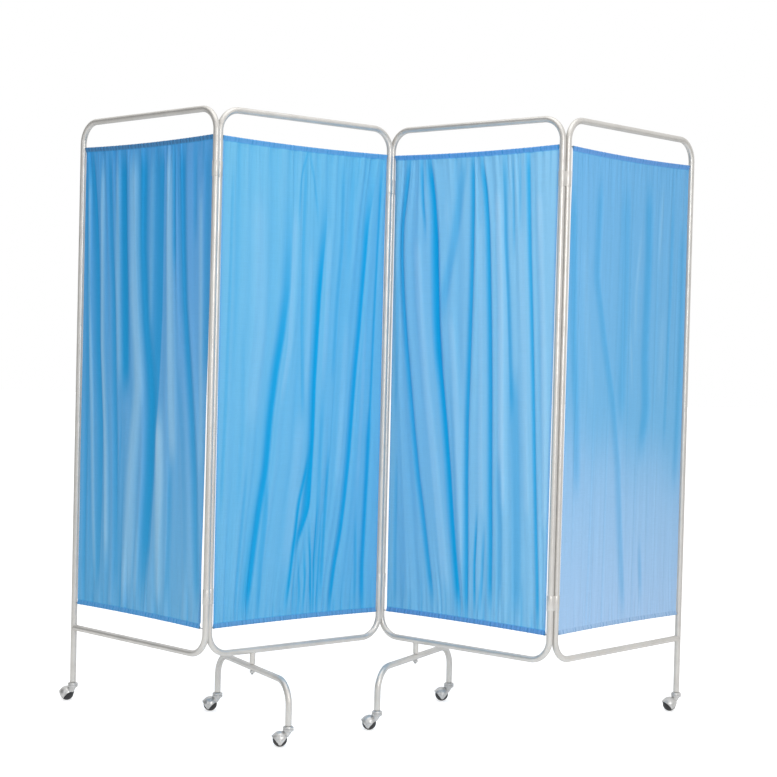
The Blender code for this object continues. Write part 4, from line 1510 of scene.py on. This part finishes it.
@dataclass
class CastorSet:
    """The six ball castors, modelled once and copied to each leg.

    Heights are from the floor, with the leg's axis on Z and the castor trailing along X.
    """

    trail: float = 22.0 * MM
    ball_radius: float = 20.0 * MM
    ball_half_width: float = 18.5 * MM
    ball_bore: float = 2.4 * MM
    parting_line: float = 0.25 * MM
    hood_radius: float = 23.2 * MM
    hood_inside: float = 21.8 * MM
    edge_rise: float = 9.0 * MM
    tongue_half_width: float = 4.5 * MM
    tongue_drop: float = 12.5 * MM
    neck_low: float = 27.0 * MM
    neck_lean: float = 7.0 * MM
    neck_reach: float = 17.0 * MM
    race_radius: float = 15.0 * MM
    race_rim: float = 1.2 * MM
    race_bottom: float = 42.5 * MM
    race_split: float = 49.2 * MM
    race_gap: float = 0.3 * MM
    race_top: float = 56.3 * MM
    stem_radius: float = 4.0 * MM
    stem_top: float = 83.0 * MM
    stem_bottom: float = 40.5 * MM
    head_radius: float = 5.5 * MM
    head_top: float = 42.0 * MM
    plug_radius: float = 7.5 * MM
    plug_bore: float = 4.3 * MM
    plug_top: float = 85.3 * MM
    flange_radius: float = 8.2 * MM
    flange_top: float = 58.0 * MM
    flange_low: float = 56.6 * MM
    axle_radius: float = 2.0 * MM
    axle_half: float = 23.3 * MM
    axle_hole: float = 2.3 * MM
    rivet_radius: float = 3.4 * MM
    rivet_thickness: float = 1.3 * MM
    masters: dict[str, Piece] = field(init=False)

    @property
    def ball_middle(self) -> Vector:
        """The middle of the ball."""
        return Vector((self.trail, 0, self.ball_radius))

    def lay_down(self, piece: Piece) -> Piece:
        """Turn a piece's axis from Z to Y and move it to the ball's middle."""
        piece.data.transform(Matrix.Translation(self.ball_middle)
                             @ Matrix.Rotation(QUARTER_TURN, 4, "X"))
        return piece

    def outline_tool(self) -> Piece:
        """Make the prism that trims the dome to its side view, with rounded corners."""
        far, half, wide = 2 * self.hood_radius, self.tongue_half_width, self.hood_radius
        rise, shoulder, waist = self.edge_rise, wide * 0.9, wide * 0.9 * 0.72
        tip = [(-half * cos, -self.tongue_drop + half * (1 - sin) * 0.8)
               for cos, sin in arc(8, HALF_TURN)]
        left = [(-far, far), (-far, rise + 1.5 * MM), (-wide, rise + 0.8 * MM),
                (-shoulder, rise - 1.0 * MM), (-waist, rise - 5.2 * MM)]
        right = [(waist, rise - 5.2 * MM), (shoulder, rise - 0.6 * MM),
                 (wide, rise + 1.0 * MM), (far, rise + 1.5 * MM), (far, far)]
        points = left + tip + right
        deselect()
        bpy.ops.mesh.primitive_circle_add(vertices=len(points), radius=1, fill_type="NGON",
                                          location=(0, 0, 0), enter_editmode=False)
        tool = bpy.context.object
        for vertex, (x, z) in zip(tool.data.vertices, points):
            vertex.co = (x, -far, z)
        edit_all(tool)
        extrude((0, 2 * far, 0))
        return finish_shape()

    def turn_out_rim(self, dome: Piece) -> None:
        """Turn the dome's trailing rim outwards and up into a short beak."""
        for vertex in dome.data.vertices:
            spot = vertex.co
            behind = max(0.0, min(1.0, (spot.x / self.hood_radius - 0.55) / 0.4))
            low = max(0.0, min(1.0, (16 * MM - spot.z) / (7 * MM)))
            spot.x += 2.6 * MM * behind * low * low
            spot.z += 0.9 * MM * behind * low

    def lower_race(self) -> Piece:
        """Turn the flat lower race with rounded rims."""
        rim = self.race_rim
        low_rim = [(self.race_radius - rim * (1 - sin), self.race_bottom + rim * (1 - cos))
                   for cos, sin in arc(4)]
        high_rim = [(self.race_radius - rim * (1 - cos), self.race_split - rim * (1 - sin))
                    for cos, sin in arc(4)]
        return rings([(0.0, self.race_bottom), *low_rim, *high_rim, (0.0, self.race_split)], 48)

    def neck(self) -> Piece:
        """Press the neck, which leans back from the lower race to the dome."""
        low, high = self.neck_low, self.race_bottom + 1.5 * MM
        neck = rings([(0, low), (8.5 * MM, low), (9.5 * MM, 33 * MM), (11.0 * MM, 38.5 * MM),
                      (12.6 * MM, high), (0, high)], 40)
        for vertex in neck.data.vertices:
            vertex.co.x += self.neck_lean * (1 - (vertex.co.z - low) / self.neck_reach)
        # The neck ends halfway through the dome's wall, so that no two skins coincide.
        halfway = (self.hood_radius + self.hood_inside) / 2
        combine(neck, sphere(halfway, 24, self.ball_middle), Cut.REMOVE)
        combine(neck, self.lower_race(), Cut.ADD)
        return neck

    def hood(self) -> Piece:
        """Press the domed hood with its two tongues, neck and lower race."""
        dome = sphere(self.hood_radius, 28)
        combine(dome, sphere(self.hood_inside, 24), Cut.REMOVE)
        combine(dome, self.outline_tool(), Cut.KEEP)
        self.turn_out_rim(dome)
        soften(dome, 0.3 * MM, 2, 50.0)
        dome.data.transform(Matrix.Translation(self.ball_middle))
        combine(dome, self.neck(), Cut.ADD)
        far = 2 * self.hood_radius
        combine(dome, self.lay_down(rings([(0, -far), (self.axle_hole, -far),
                                           (self.axle_hole, far), (0, far)], 24)), Cut.REMOVE)
        return dome

    def stem(self) -> Piece:
        """Turn the fixed stem with its upper race and its riveted head."""
        low, high = self.race_split + self.race_gap, self.race_top
        chamfer, rim, side, dome = 0.5 * MM, 0.4 * MM, 2.4 * MM, 4.6 * MM
        head = [(0, self.stem_bottom), (self.head_radius - chamfer, self.stem_bottom),
                (self.head_radius, self.stem_bottom + chamfer),
                (self.head_radius, self.head_top), (self.stem_radius, self.head_top)]
        race = [(self.stem_radius, low), (self.race_radius - rim, low),
                (self.race_radius, low + rim), (self.race_radius, low + side)]
        race += [(self.race_radius - dome * (1 - cos), low + side + (high - low - side) * sin)
                 for cos, sin in arc(6)[1:]]
        tip = 0.6 * MM
        top = [(self.stem_radius, high), (self.stem_radius, self.stem_top - tip),
               (self.stem_radius - tip, self.stem_top), (0, self.stem_top)]
        return rings(head + race + top, 48)

    def plug(self) -> Piece:
        """Mould the flanged bush in the leg's end."""
        chamfer = 0.25 * MM
        return rings([(self.plug_bore, self.flange_low),
                      (self.flange_radius - chamfer, self.flange_low),
                      (self.flange_radius, self.flange_low + chamfer),
                      (self.flange_radius, self.flange_top - chamfer),
                      (self.flange_radius - chamfer, self.flange_top),
                      (self.plug_radius, self.flange_top), (self.plug_radius, self.plug_top),
                      (self.plug_bore, self.plug_top), (self.plug_bore, self.flange_low)],
                     40, closed=True)

    def ball(self) -> Piece:
        """Mould the rubber ball with flat sides, a bore and a parting line."""
        edge = math.asin(self.ball_half_width / self.ball_radius)
        steps = 22
        tread = []
        for step in range(steps + 1):
            angle = -edge + 2 * edge * step / steps
            radius = self.ball_radius - (self.parting_line if step == steps // 2 else 0)
            tread.append((radius * math.cos(angle), self.ball_radius * math.sin(angle)))
        low, high = -self.ball_half_width, self.ball_half_width
        return self.lay_down(rings([(self.ball_bore, low), *tread, (self.ball_bore, high),
                                    (self.ball_bore, low)], 48, closed=True))

    def axle(self) -> Piece:
        """Rivet the axle, with a low dome on each end."""
        rim = 0.15 * MM
        dome = [(self.rivet_radius * cos,
                 self.axle_half + rim + (self.rivet_thickness - rim) * sin)
                for cos, sin in arc(5)]
        upper = [(self.axle_radius, self.axle_half), (self.rivet_radius, self.axle_half),
                 *dome[:-1], (0.0, dome[-1][1])]
        lower = [(radius, -height) for radius, height in reversed(upper)]
        return self.lay_down(rings(lower + upper, 24))

    def make_masters(self) -> None:
        """Model each castor piece once, with the leg's axis on Z."""
        self.masters = {"leg_plug": self.plug(), "castor_stem": self.stem(),
                        "castor_hood": self.hood(), "castor_axle": self.axle(),
                        "ball_wheel": self.ball()}

    def build(self, leg: str, leg_body: str, place: Matrix, materials: Materials) -> None:
        """Copy the castor to one leg and register its pieces.

        Args:
            leg: the leg's name in the nodes.
            leg_body: the body that the leg belongs to.
            place: the leg's place, with X along the castor's trail.
            materials: the built finishes.
        """
        castor, wheel = f"castor_{leg}", f"wheel_{leg}"
        for kind, finish, body in (("leg_plug", Finish.NYLON, leg_body),
                                   ("castor_stem", Finish.CHROME, leg_body),
                                   ("castor_hood", Finish.CHROME, castor),
                                   ("castor_axle", Finish.CHROME, castor),
                                   ("ball_wheel", Finish.RUBBER, wheel)):
            dress(copy_of(self.masters[kind]), f"{leg}_{kind}", finish, body,
                  f"{kind}_{leg}", materials, place)

    def clear(self) -> None:
        """Remove the castor that the copies were made from."""
        for master in self.masters.values():
            bpy.data.objects.remove(master, do_unlink=True)


# Studio

SMOOTH = {"interpolation_type": "SMOOTHSTEP"}
WHITE = (1.0, 1.0, 1.0, 1.0)


@dataclass
class Studio:
    """The pale floor, the soft lamps and the camera.

    Its pitch and roll are in radians, and it looks down where the pitch is below 0. The
    floor's glow is its own light for the camera, on top of what the lamps give.
    """

    stand: Vector = field(default_factory=lambda: Vector((0.0270, -4.7598, 1.0890)))
    pitch: float = -0.02437
    roll: float = 0.02475
    focal_pixels: float = 1642.85
    frame_pixels: float = 777.0
    sensor_mm: float = 36.0
    clip_end: float = 200.0
    floor_size: float = 60.0
    floor_grey: float = 0.86
    floor_glow: float = 0.6
    fill: float = 0.64

    def camera(self) -> None:
        """Set the camera where the photograph was taken from."""
        forward = Vector((0, math.cos(self.pitch), math.sin(self.pitch)))
        up = ACROSS.cross(forward)
        cos, sin = math.cos(self.roll), math.sin(self.roll)
        x_axis = cos * ACROSS + sin * up
        y_axis = -sin * ACROSS + cos * up
        data = bpy.data.cameras.new("camera")
        data.sensor_width = self.sensor_mm
        data.sensor_fit = "HORIZONTAL"
        data.lens = self.focal_pixels / self.frame_pixels * self.sensor_mm
        data.clip_end = self.clip_end
        camera = bpy.data.objects.new("camera", data)
        turn = Matrix((x_axis, y_axis, -forward)).transposed().to_4x4()
        camera.matrix_world = Matrix.Translation(self.stand) @ turn
        bpy.context.scene.collection.objects.link(camera)
        bpy.context.scene.camera = camera

    def floor(self) -> None:
        """Lay the pale floor, which reads as white and keeps the shadow."""
        deselect()
        bpy.ops.mesh.primitive_plane_add(size=self.floor_size, location=(0, 0, 0))
        floor = bpy.context.object
        floor.name = "studio_floor"
        material, tree, shader = new_material("matt white painted floor", {
            "Base Color": (self.floor_grey, self.floor_grey, self.floor_grey, 1),
            "Roughness": 0.9, "Specular IOR Level": 0.1})
        path = add_node(tree, "LightPath")
        seen = add_node(tree, "Math", {"operation": "MAXIMUM"},
                        {0: path.outputs["Is Camera Ray"],
                         1: path.outputs["Is Transmission Ray"]})
        level = add_node(tree, "Math", {"operation": "MULTIPLY", 1: self.floor_glow}, {0: seen})
        # Painted reflection: the floor glows for glossy rays only, so the tubes mirror a floor
        # that is darker away from the screen.
        place = add_node(tree, "TexCoord").outputs["Object"]
        reach = add_node(tree, "VectorMath", {"operation": "LENGTH"}, {0: place})
        near = add_node(tree, "MapRange", {"From Min": 1.5, "From Max": 4.0, "To Min": 0.45,
                                           "To Max": 0.0}, {"Value": reach.outputs["Value"]})
        painted_shine = add_node(tree, "Math", {"operation": "MULTIPLY"},
                         {0: path.outputs["Is Glossy Ray"], 1: near})
        level = add_node(tree, "Math", {"operation": "ADD"}, {0: level, 1: painted_shine})
        glow = add_node(tree, "Emission", {"Color": WHITE}, {"Strength": level})
        both = add_node(tree, "AddShader", links={0: shader, 1: glow})
        out = next(node for node in tree.nodes if node.type == "OUTPUT_MATERIAL")
        connect(tree, out, {"Surface": both})
        floor.data.materials.append(material)

    def world(self) -> None:
        """Set a white backdrop for the camera and a soft grey room for the light."""
        world = bpy.data.worlds.new("studio room")
        world.use_nodes = True
        bpy.context.scene.world = world
        tree = world.node_tree
        tree.nodes.clear()
        path = add_node(tree, "LightPath")
        way = add_node(tree, "TexCoord").outputs["Generated"]
        parts = add_node(tree, "SeparateXYZ", links={0: way})
        # The room behind the camera is darker, which gives the tubes their grey streaks.
        facing = add_node(tree, "MapRange", {"From Min": -0.95, "From Max": 0.1, **SMOOTH},
                          {"Value": parts.outputs["Y"]})
        above = add_node(tree, "MapRange", {"From Min": 0.05, "From Max": 0.5, **SMOOTH},
                         {"Value": parts.outputs["Z"]})
        open_sky = add_node(tree, "Math", {"operation": "MAXIMUM"}, {0: facing, 1: above})
        room = add_node(tree, "MapRange", {"To Min": 0.6, "To Max": 1.0}, {"Value": open_sky})
        # A dark patch on the left gives the rails their dark line.
        aim = add_node(tree, "VectorMath", {"operation": "DOT_PRODUCT", 1: (-0.94, -0.15, 0.31)},
                       {0: way})
        patch = add_node(tree, "MapRange", {"From Min": 0.75, "From Max": 0.97, "To Min": 1.0,
                                            "To Max": 0.0, **SMOOTH},
                         {"Value": aim.outputs["Value"]})
        room = add_node(tree, "Math", {"operation": "MULTIPLY"}, {0: room, 1: patch})
        seen = add_node(tree, "Math", {"operation": "MAXIMUM"},
                        {0: path.outputs["Is Camera Ray"],
                         1: path.outputs["Is Transmission Ray"]})
        fill = add_node(tree, "Background", {"Color": WHITE, "Strength": self.fill})
        gloss = add_node(tree, "Background", {"Color": WHITE}, {"Strength": room})
        white = add_node(tree, "Background", {"Color": WHITE, "Strength": 1.0})
        first = add_node(tree, "MixShader",
                         links={0: path.outputs["Is Glossy Ray"], 1: fill, 2: gloss})
        second = add_node(tree, "MixShader", links={0: seen, 1: first, 2: white})
        add_node(tree, "OutputWorld", links={"Surface": second})

    def lamp(self, name: str, spot: tuple[float, float, float],
             target: tuple[float, float, float], size: float, watts: float,
             colour: tuple[float, float, float] = WHITE[:3]) -> None:
        """Hang one soft box.

        Args:
            name: the lamp's name.
            spot: where it hangs.
            target: what it points at.
            size: the length of its side.
            watts: its power.
            colour: its linear colour.
        """
        data = bpy.data.lights.new(name, "AREA")
        data.color = colour
        data.shape = "SQUARE"
        data.size = size
        data.energy = watts
        lamp = bpy.data.objects.new(name, data)
        lamp.location = spot
        lamp.rotation_euler = (Vector(target) - Vector(spot)).to_track_quat("-Z", "Y").to_euler()
        bpy.context.scene.collection.objects.link(lamp)

    def build(self) -> None:
        """Set the whole stage."""
        self.camera()
        self.floor()
        self.world()
        self.lamp("front soft box", (1.1, -2.8, 1.6), (0.15, 0.0, 0.85), size=1.6, watts=30.5)
        self.lamp("side soft box", (-2.6, -2.4, 1.4), (-0.3, 0.0, 0.85), size=1.4, watts=6.0,
                  colour=(0.86, 0.93, 1.0))
        self.lamp("top soft box", (0.0, -0.6, 3.6), (0.0, 0.0, 0.0), size=2.6, watts=25.0)
        bpy.context.scene.view_settings.view_transform = "Standard"


# The four curtains, each with its own folds

CURTAIN_1 = Curtain(
    number=1, folds=(
        Fold(((2, 95), (4, 70), (5, 45), (4, 5)), 0.45, 16, 12),
        Fold(((6, 98), (10, 86), (12, 75), (14, 57), (17.5, 40), (18, 25), (17, 5)), 0.65, 34, 9),
        Fold(((20.5, 98), (23.5, 79), (26, 68), (28, 51), (30, 37), (31, 22), (32, 6)),
             0.6, 22, 12),
        Fold(((32, 98), (33.5, 80), (35, 68), (37, 48)), 0.8, 34, 26),
        Fold(((47.5, 98), (48.5, 78), (52, 62), (55.5, 53), (58, 44), (57.5, 30), (55, 18),
              (54, 5)), 0.75, 34, 30),
        Fold(((63, 98), (63.5, 80), (64, 65), (63, 50), (61.5, 38), (60, 24), (58.5, 12)), 0.7,
              62, 7),
        Fold(((71.5, 98), (72.5, 87), (74, 74)), 0.6, 16, 8),
        Fold(((77, 98), (79.5, 79), (82, 66), (86, 54), (89.5, 43), (93, 30), (95, 19),
              (97.5, 5)), 0.7, 24, 22),
        Fold(((86.5, 99), (87.5, 90), (88.5, 80)), 0.4, 14, 12),
        Fold(((96.5, 97), (97.5, 75), (99, 52)), 0.45, 22, 14),
        Fold(((73.5, 31), (74, 19), (73, 4)), 0.5, 8, 20),
        Fold(((79, 50), (83, 37), (86, 22), (87.5, 10)), 0.3, 12, 20),
        Fold(((34, 40), (33, 28), (34, 10)), 0.3, 7, 7),
        Fold(((4, 94), (5, 68), (9, 46), (11.5, 23), (14, 7)), -0.6, 13, 9),
        Fold(((14.3, 96), (15, 79), (16.5, 57), (21, 34), (23, 12)), -0.7, 9, 20),
        Fold(((27, 96), (27.7, 84), (29, 68), (32, 50)), -0.6, 18, 18),
        Fold(((40, 97), (42, 79), (43, 68), (46, 57), (47.5, 49), (45, 39), (43, 29), (42, 14),
              (40, 4)), -0.65, 30, 34),
        Fold(((54.5, 96), (55.5, 80), (55.5, 62)), -0.4, 16, 14),
        Fold(((66.5, 97), (68, 80), (70.5, 62), (73, 45), (75, 34)), -0.7, 14, 34),
        Fold(((64, 42), (66, 29), (66.5, 17), (67, 3)), -0.95, 26, 30),
        Fold(((92, 88), (94, 68), (95.5, 51), (97.5, 32)), -0.5, 14, 12),
        Fold(((50, 19), (49, 10), (48, 3)), -0.4, 16, 10),
    ),
    seed=11, top_insets=(12.5 * MM, 11.0 * MM), bottom_insets=(18.0 * MM, 26.0 * MM),
    top_pleats=(22, 0.55), bottom_pleats=(24, 0.35), streaks=(10, 0.3), wave_shade=0.2,
    hem_tint=0.5, corner_shade=(0.4, 0.2, 0.15, -0.35), shade=(0.6, 0.22),
    casing_shade=(0.53, 0.12), casing_tint=0.6, foot_tint=0.55)

CURTAIN_2 = Curtain(
    number=2, folds=(
        Fold(((39.5, 96), (40.4, 80), (40, 69), (37.5, 60), (34.5, 53), (31.5, 43), (29.5, 32),
              (26, 24), (23, 15), (19.5, 3)), 0.85, 34, 11, fade=0.42),
        Fold(((61, 95), (62.5, 85), (61.5, 78), (60, 69), (59, 60), (58, 50), (57.7, 39),
              (57.1, 33), (56.6, 29), (56.3, 25), (55.5, 22.5), (53, 20), (50, 17), (48, 15)),
              0.9, 29, 5, fade=0.25),
        Fold(((54.5, 33), (51.5, 28), (49.6, 25.4), (48.6, 22.5), (47.6, 18), (45.8, 12.8),
              (44.3, 7.6), (42.7, 3.4)), 0.85, 13, 6, fade=0.06),
        Fold(((56, 35), (54, 28), (52.5, 20)), 0.55, 20, 12, fade=0.08),
        Fold(((94.6, 98), (91.2, 91), (89.2, 85), (88.2, 78), (86.8, 70), (85.3, 61), (83.6, 53),
              (82.2, 44), (80.7, 34), (78.6, 25), (76.5, 18), (73.2, 11), (70.5, 2)), 0.85, 22, 5,
              fade=0.18),
        Fold(((97, 95), (95.5, 78), (94.5, 65), (93.7, 50), (93, 38)), 0.65, 10, 5),
        Fold(((93.5, 42), (92.8, 32), (91.8, 20), (91, 10), (91.5, 2)), 0.8, 20, 7),
        Fold(((49, 97), (48.2, 79), (48.4, 62), (50, 45)), 0.4, 5, 12),
        Fold(((50.5, 99), (46.4, 94), (45.5, 86)), 0.5, 6, 5),
        Fold(((51, 99), (54.5, 93), (57.2, 86)), 0.4, 6, 5),
        Fold(((72.5, 96), (72.8, 80), (70.5, 68), (69, 52)), 0.38, 14, 8),
        Fold(((79, 97), (78.5, 86), (77.5, 76)), 0.2, 14, 8),
        Fold(((67.3, 34), (66, 22), (64, 5)), 0.6, 12, 6),
        Fold(((62.5, 45), (61.5, 30), (61, 18), (60, 10)), 0.35, 12, 9),
        Fold(((56, 18), (57.5, 10), (58.3, 2)), 0.85, 8, 5),
        Fold(((53.5, 14), (54, 8), (53, 2)), 0.7, 7, 5),
        Fold(((60.5, 24), (59.6, 12), (59.8, 2)), 0.7, 6, 4),
        Fold(((50, 12), (51.2, 6), (50.6, 2)), 0.6, 7, 4),
        Fold(((63.5, 20), (62.2, 9), (61.8, 2)), 0.6, 7, 5),
        Fold(((47.5, 9), (46.8, 2)), 0.5, 6, 4),
        Fold(((85.5, 20), (86.2, 10), (86, 2)), 0.5, 10, 6),
        Fold(((29.8, 31), (29.5, 22), (27, 12), (26, 2)), 0.5, 18, 8),
        Fold(((17.5, 30), (14.5, 15), (12.5, 4)), 0.3, 10, 6),
        Fold(((6, 92), (5.5, 68), (4.5, 45), (3, 25)), 0.3, 8, 8),
        Fold(((14, 60), (15, 40), (13, 25)), 0.15, 14, 8),
        Fold(((43, 86), (42.5, 72), (41, 58), (37, 47)), -0.4, 6, 16),
        Fold(((49, 42), (46, 25), (43, 12)), -0.3, 30, 24),
        Fold(((64, 82), (63, 65), (62, 52)), -0.3, 6, 18),
        Fold(((77, 62), (75, 45), (73, 28)), -0.3, 16, 16),
        Fold(((22, 88), (24, 60), (20, 42)), -0.25, 40, 30),
        Fold(((53.5, 78), (53, 60), (52, 48)), -0.25, 14, 12),
        Fold(((88.5, 62), (87.5, 45), (86, 28)), -0.25, 10, 10),
    ),
    seed=22, top_insets=(11.0 * MM, 11.0 * MM), bottom_insets=(13.5 * MM, 12.0 * MM),
    top_pleats=(24, 0.28), bottom_pleats=(28, 0.45), streaks=(14, 0.16), wave_shade=0.1,
    hem_tint=0.05, corner_shade=(0.0, 0.18, 0.06, 0.2), shade=(0.0, 0.12),
    casing_shade=(0.1, 0.26), casing_tint=0.55)

CURTAIN_3 = Curtain(
    number=3, folds=(
        Fold(((10, 99), (8, 92), (5.8, 85.5), (5.6, 79), (7, 70), (9.6, 60), (12.4, 51),
              (15.5, 41), (19, 31), (22.6, 23), (26.2, 14), (30.4, 4)), 0.75, 20, 8),
        Fold(((17.3, 99), (18.7, 90), (20.5, 84)), 0.7, 12, 5),
        Fold(((22.5, 99), (26, 90), (27.5, 82), (28.7, 73), (29.5, 65), (31, 57), (33.7, 50),
              (36.3, 42), (39.3, 32), (41.5, 23), (44.7, 12), (47.5, 3)), 0.9, 28, 7),
        Fold(((27.5, 84), (28, 74), (29.5, 64), (32.5, 54)), 0.7, 30, 9),
        Fold(((44, 98), (41, 88), (38, 79), (34.5, 72), (33, 66)), 0.4, 24, 20),
        Fold(((50, 99), (50.7, 88), (50.9, 73), (50.5, 57), (50, 43), (50.3, 32), (51.2, 18),
              (52.3, 2)), 0.8, 20, 6),
        Fold(((55, 98), (58, 92), (60, 84), (61.2, 75), (62.7, 62), (63.8, 50), (64.4, 40),
              (65, 30), (66, 18), (66.6, 5)), 0.8, 19, 8),
        Fold(((68, 98), (69.3, 90), (70.2, 81), (72.5, 70), (74.3, 59), (76, 46)), 0.55, 7, 16),
        Fold(((77.5, 52), (80, 36), (81.8, 20), (83, 4)), 0.42, 34, 22),
        Fold(((73.6, 98), (74.5, 90), (75.5, 80)), 0.45, 8, 6),
        Fold(((77.7, 98), (78.5, 86)), 0.35, 7, 6),
        Fold(((82.5, 99), (83.7, 90), (85, 79), (86.7, 68), (88.2, 57), (89.8, 45), (91.2, 34),
              (92.7, 23), (94.5, 12), (95.7, 2)), 0.75, 13, 7),
        Fold(((70, 34), (71.5, 20), (72, 6)), 0.4, 18, 14),
        Fold(((57, 22), (56.3, 12), (57.2, 3)), 0.8, 9, 6),
        Fold(((61.5, 19), (61.1, 10), (60, 3)), 0.55, 9, 6),
        Fold(((4.5, 32), (4.5, 15), (5, 2)), 0.35, 10, 9),
        Fold(((3, 75), (3.5, 60), (3.5, 45)), 0.3, 12, 8),
        Fold(((15, 82), (18, 68), (23.2, 51), (29.5, 34), (35, 18), (39, 6)), -0.6, 26, 24),
        Fold(((38, 66), (42, 51), (44.6, 39), (46.4, 23), (48.2, 11)), -0.6, 24, 18),
        Fold(((33, 92), (35, 82)), -0.45, 22, 12),
        Fold(((54.5, 86), (56.3, 68), (57.5, 51), (58.5, 34), (60, 22)), -0.6, 18, 16),
        Fold(((65, 92), (67, 80), (68.8, 68), (70, 51), (71, 39), (72.5, 24)), -0.85, 22, 18),
        Fold(((80, 85), (82, 68), (84, 54), (85.7, 39), (88, 22)), -0.65, 24, 16),
        Fold(((89, 92), (92, 73), (94.3, 57), (96.4, 40), (97.5, 20)), -0.75, 18, 26),
    ),
    seed=33, top_insets=(11.0 * MM, 12.0 * MM), bottom_insets=(20.0 * MM, 14.5 * MM),
    top_pleats=(20, 0.35), bottom_pleats=(28, 0.45), streaks=(10, 0.18), wave_shade=0.1,
    hem_tint=0.12, corner_shade=(-0.2, -0.5, -0.15, -0.45), shade=(0.08, 0.10),
    casing_shade=(0.08, 0.27), casing_tint=0.75)

CURTAIN_4 = Curtain(
    number=4, folds=(
        Fold(((2, 90), (5, 62), (9, 45), (11, 30)), 0.36, 26, 20),
        Fold(((24, 93), (23, 74), (31, 60), (39, 48), (45, 34), (49, 17), (52.5, 4)), 0.32, 30,
              12),
        Fold(((46, 92), (47, 70), (46, 45)), 0.28, 34, 24),
        Fold(((65, 93), (66, 79), (65, 57), (67, 46), (64, 38)), 0.4, 30, 26),
        Fold(((87, 90), (86, 70), (84, 40)), 0.25, 12, 12),
        Fold(((96, 85), (97, 60), (95, 30)), 0.3, 24, 16),
        Fold(((65, 16), (67, 6)), 0.3, 14, 12),
        Fold(((58.5, 83), (55.5, 71), (56, 62)), -0.32, 10, 12),
        Fold(((77, 93), (75, 78)), -0.32, 12, 10),
        Fold(((52, 62), (54.5, 52)), -0.28, 9, 9),
        Fold(((12, 80), (16, 60), (22, 48)), -0.18, 22, 22),
        Fold(((80, 66), (79, 50)), -0.22, 18, 18),
    ),
    seed=44, top_insets=(21.0 * MM, 12.5 * MM), bottom_insets=(15.5 * MM, 13.0 * MM),
    top_pleats=(26, 0.2), bottom_pleats=(28, 0.10), streaks=(18, 0.15), wave_shade=0.04,
    hem_tint=0.0, corner_shade=(0.05, 0.1, 0.0, 0.0), shade=(0.3, 0.12),
    casing_shade=(0.14, 0.15), painted_haze_all=0.1, painted_haze_foot=1.0, calm=0.4)


def post_place(pair: str, number: int) -> Vector:
    """Return where a panel's post stands in the sleeves between a pair of panels."""
    return joint_place(f"fold_{pair}_at_panel_{number}")


def main() -> None:
    """Build the studio and the screen, piece by piece."""
    logging.basicConfig(level=logging.INFO, format="%(name)s: %(message)s")
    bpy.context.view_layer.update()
    Studio().build()
    materials = build_finishes()

    posts = {1: (joint_place("swivel_left_leg"), post_place("12", 1)),
             2: (post_place("12", 2), post_place("23", 2)),
             3: (post_place("23", 3), post_place("34", 3)),
             4: (post_place("34", 4), joint_place("swivel_right_leg"))}
    for curtain, leg in ((CURTAIN_1, LongLeg.LEFT), (CURTAIN_2, LongLeg.NONE),
                         (CURTAIN_3, LongLeg.NONE), (CURTAIN_4, LongLeg.RIGHT)):
        left, right = posts[curtain.number]
        Panel(curtain.number, upright(left, right - left), curtain, leg).build(materials)

    for pair, first, second in (("12", 2, 1), ("23", 2, 3), ("34", 3, 4)):
        post = post_place(pair, first)
        across = post_place(pair, second) - post
        HingeSleeves(pair, upright(post, across)).build(materials)

    for number in (2, 3):
        stud = joint_place(f"arch_{number}_turn")
        rear = joint_place(f"swivel_arch_{number}_rear")
        left, right = posts[number]
        FootArch(number, upright(stud, right - left), upright(stud, rear - stud)
                 ).build(materials)

    castors = CastorSet()
    castors.make_masters()
    for leg, leg_body in (("left_leg", "panel_1"), ("arch_2_rear", "arch_2"),
                          ("arch_2_front", "arch_2"), ("arch_3_front", "arch_3"),
                          ("arch_3_rear", "arch_3"), ("right_leg", "panel_4")):
        stem, ball = joint_place(f"swivel_{leg}"), joint_place(f"spin_{leg}")
        castors.build(leg, leg_body, upright(stem, ball - stem), materials)
    castors.clear()


if __name__ == "__main__":
    main()
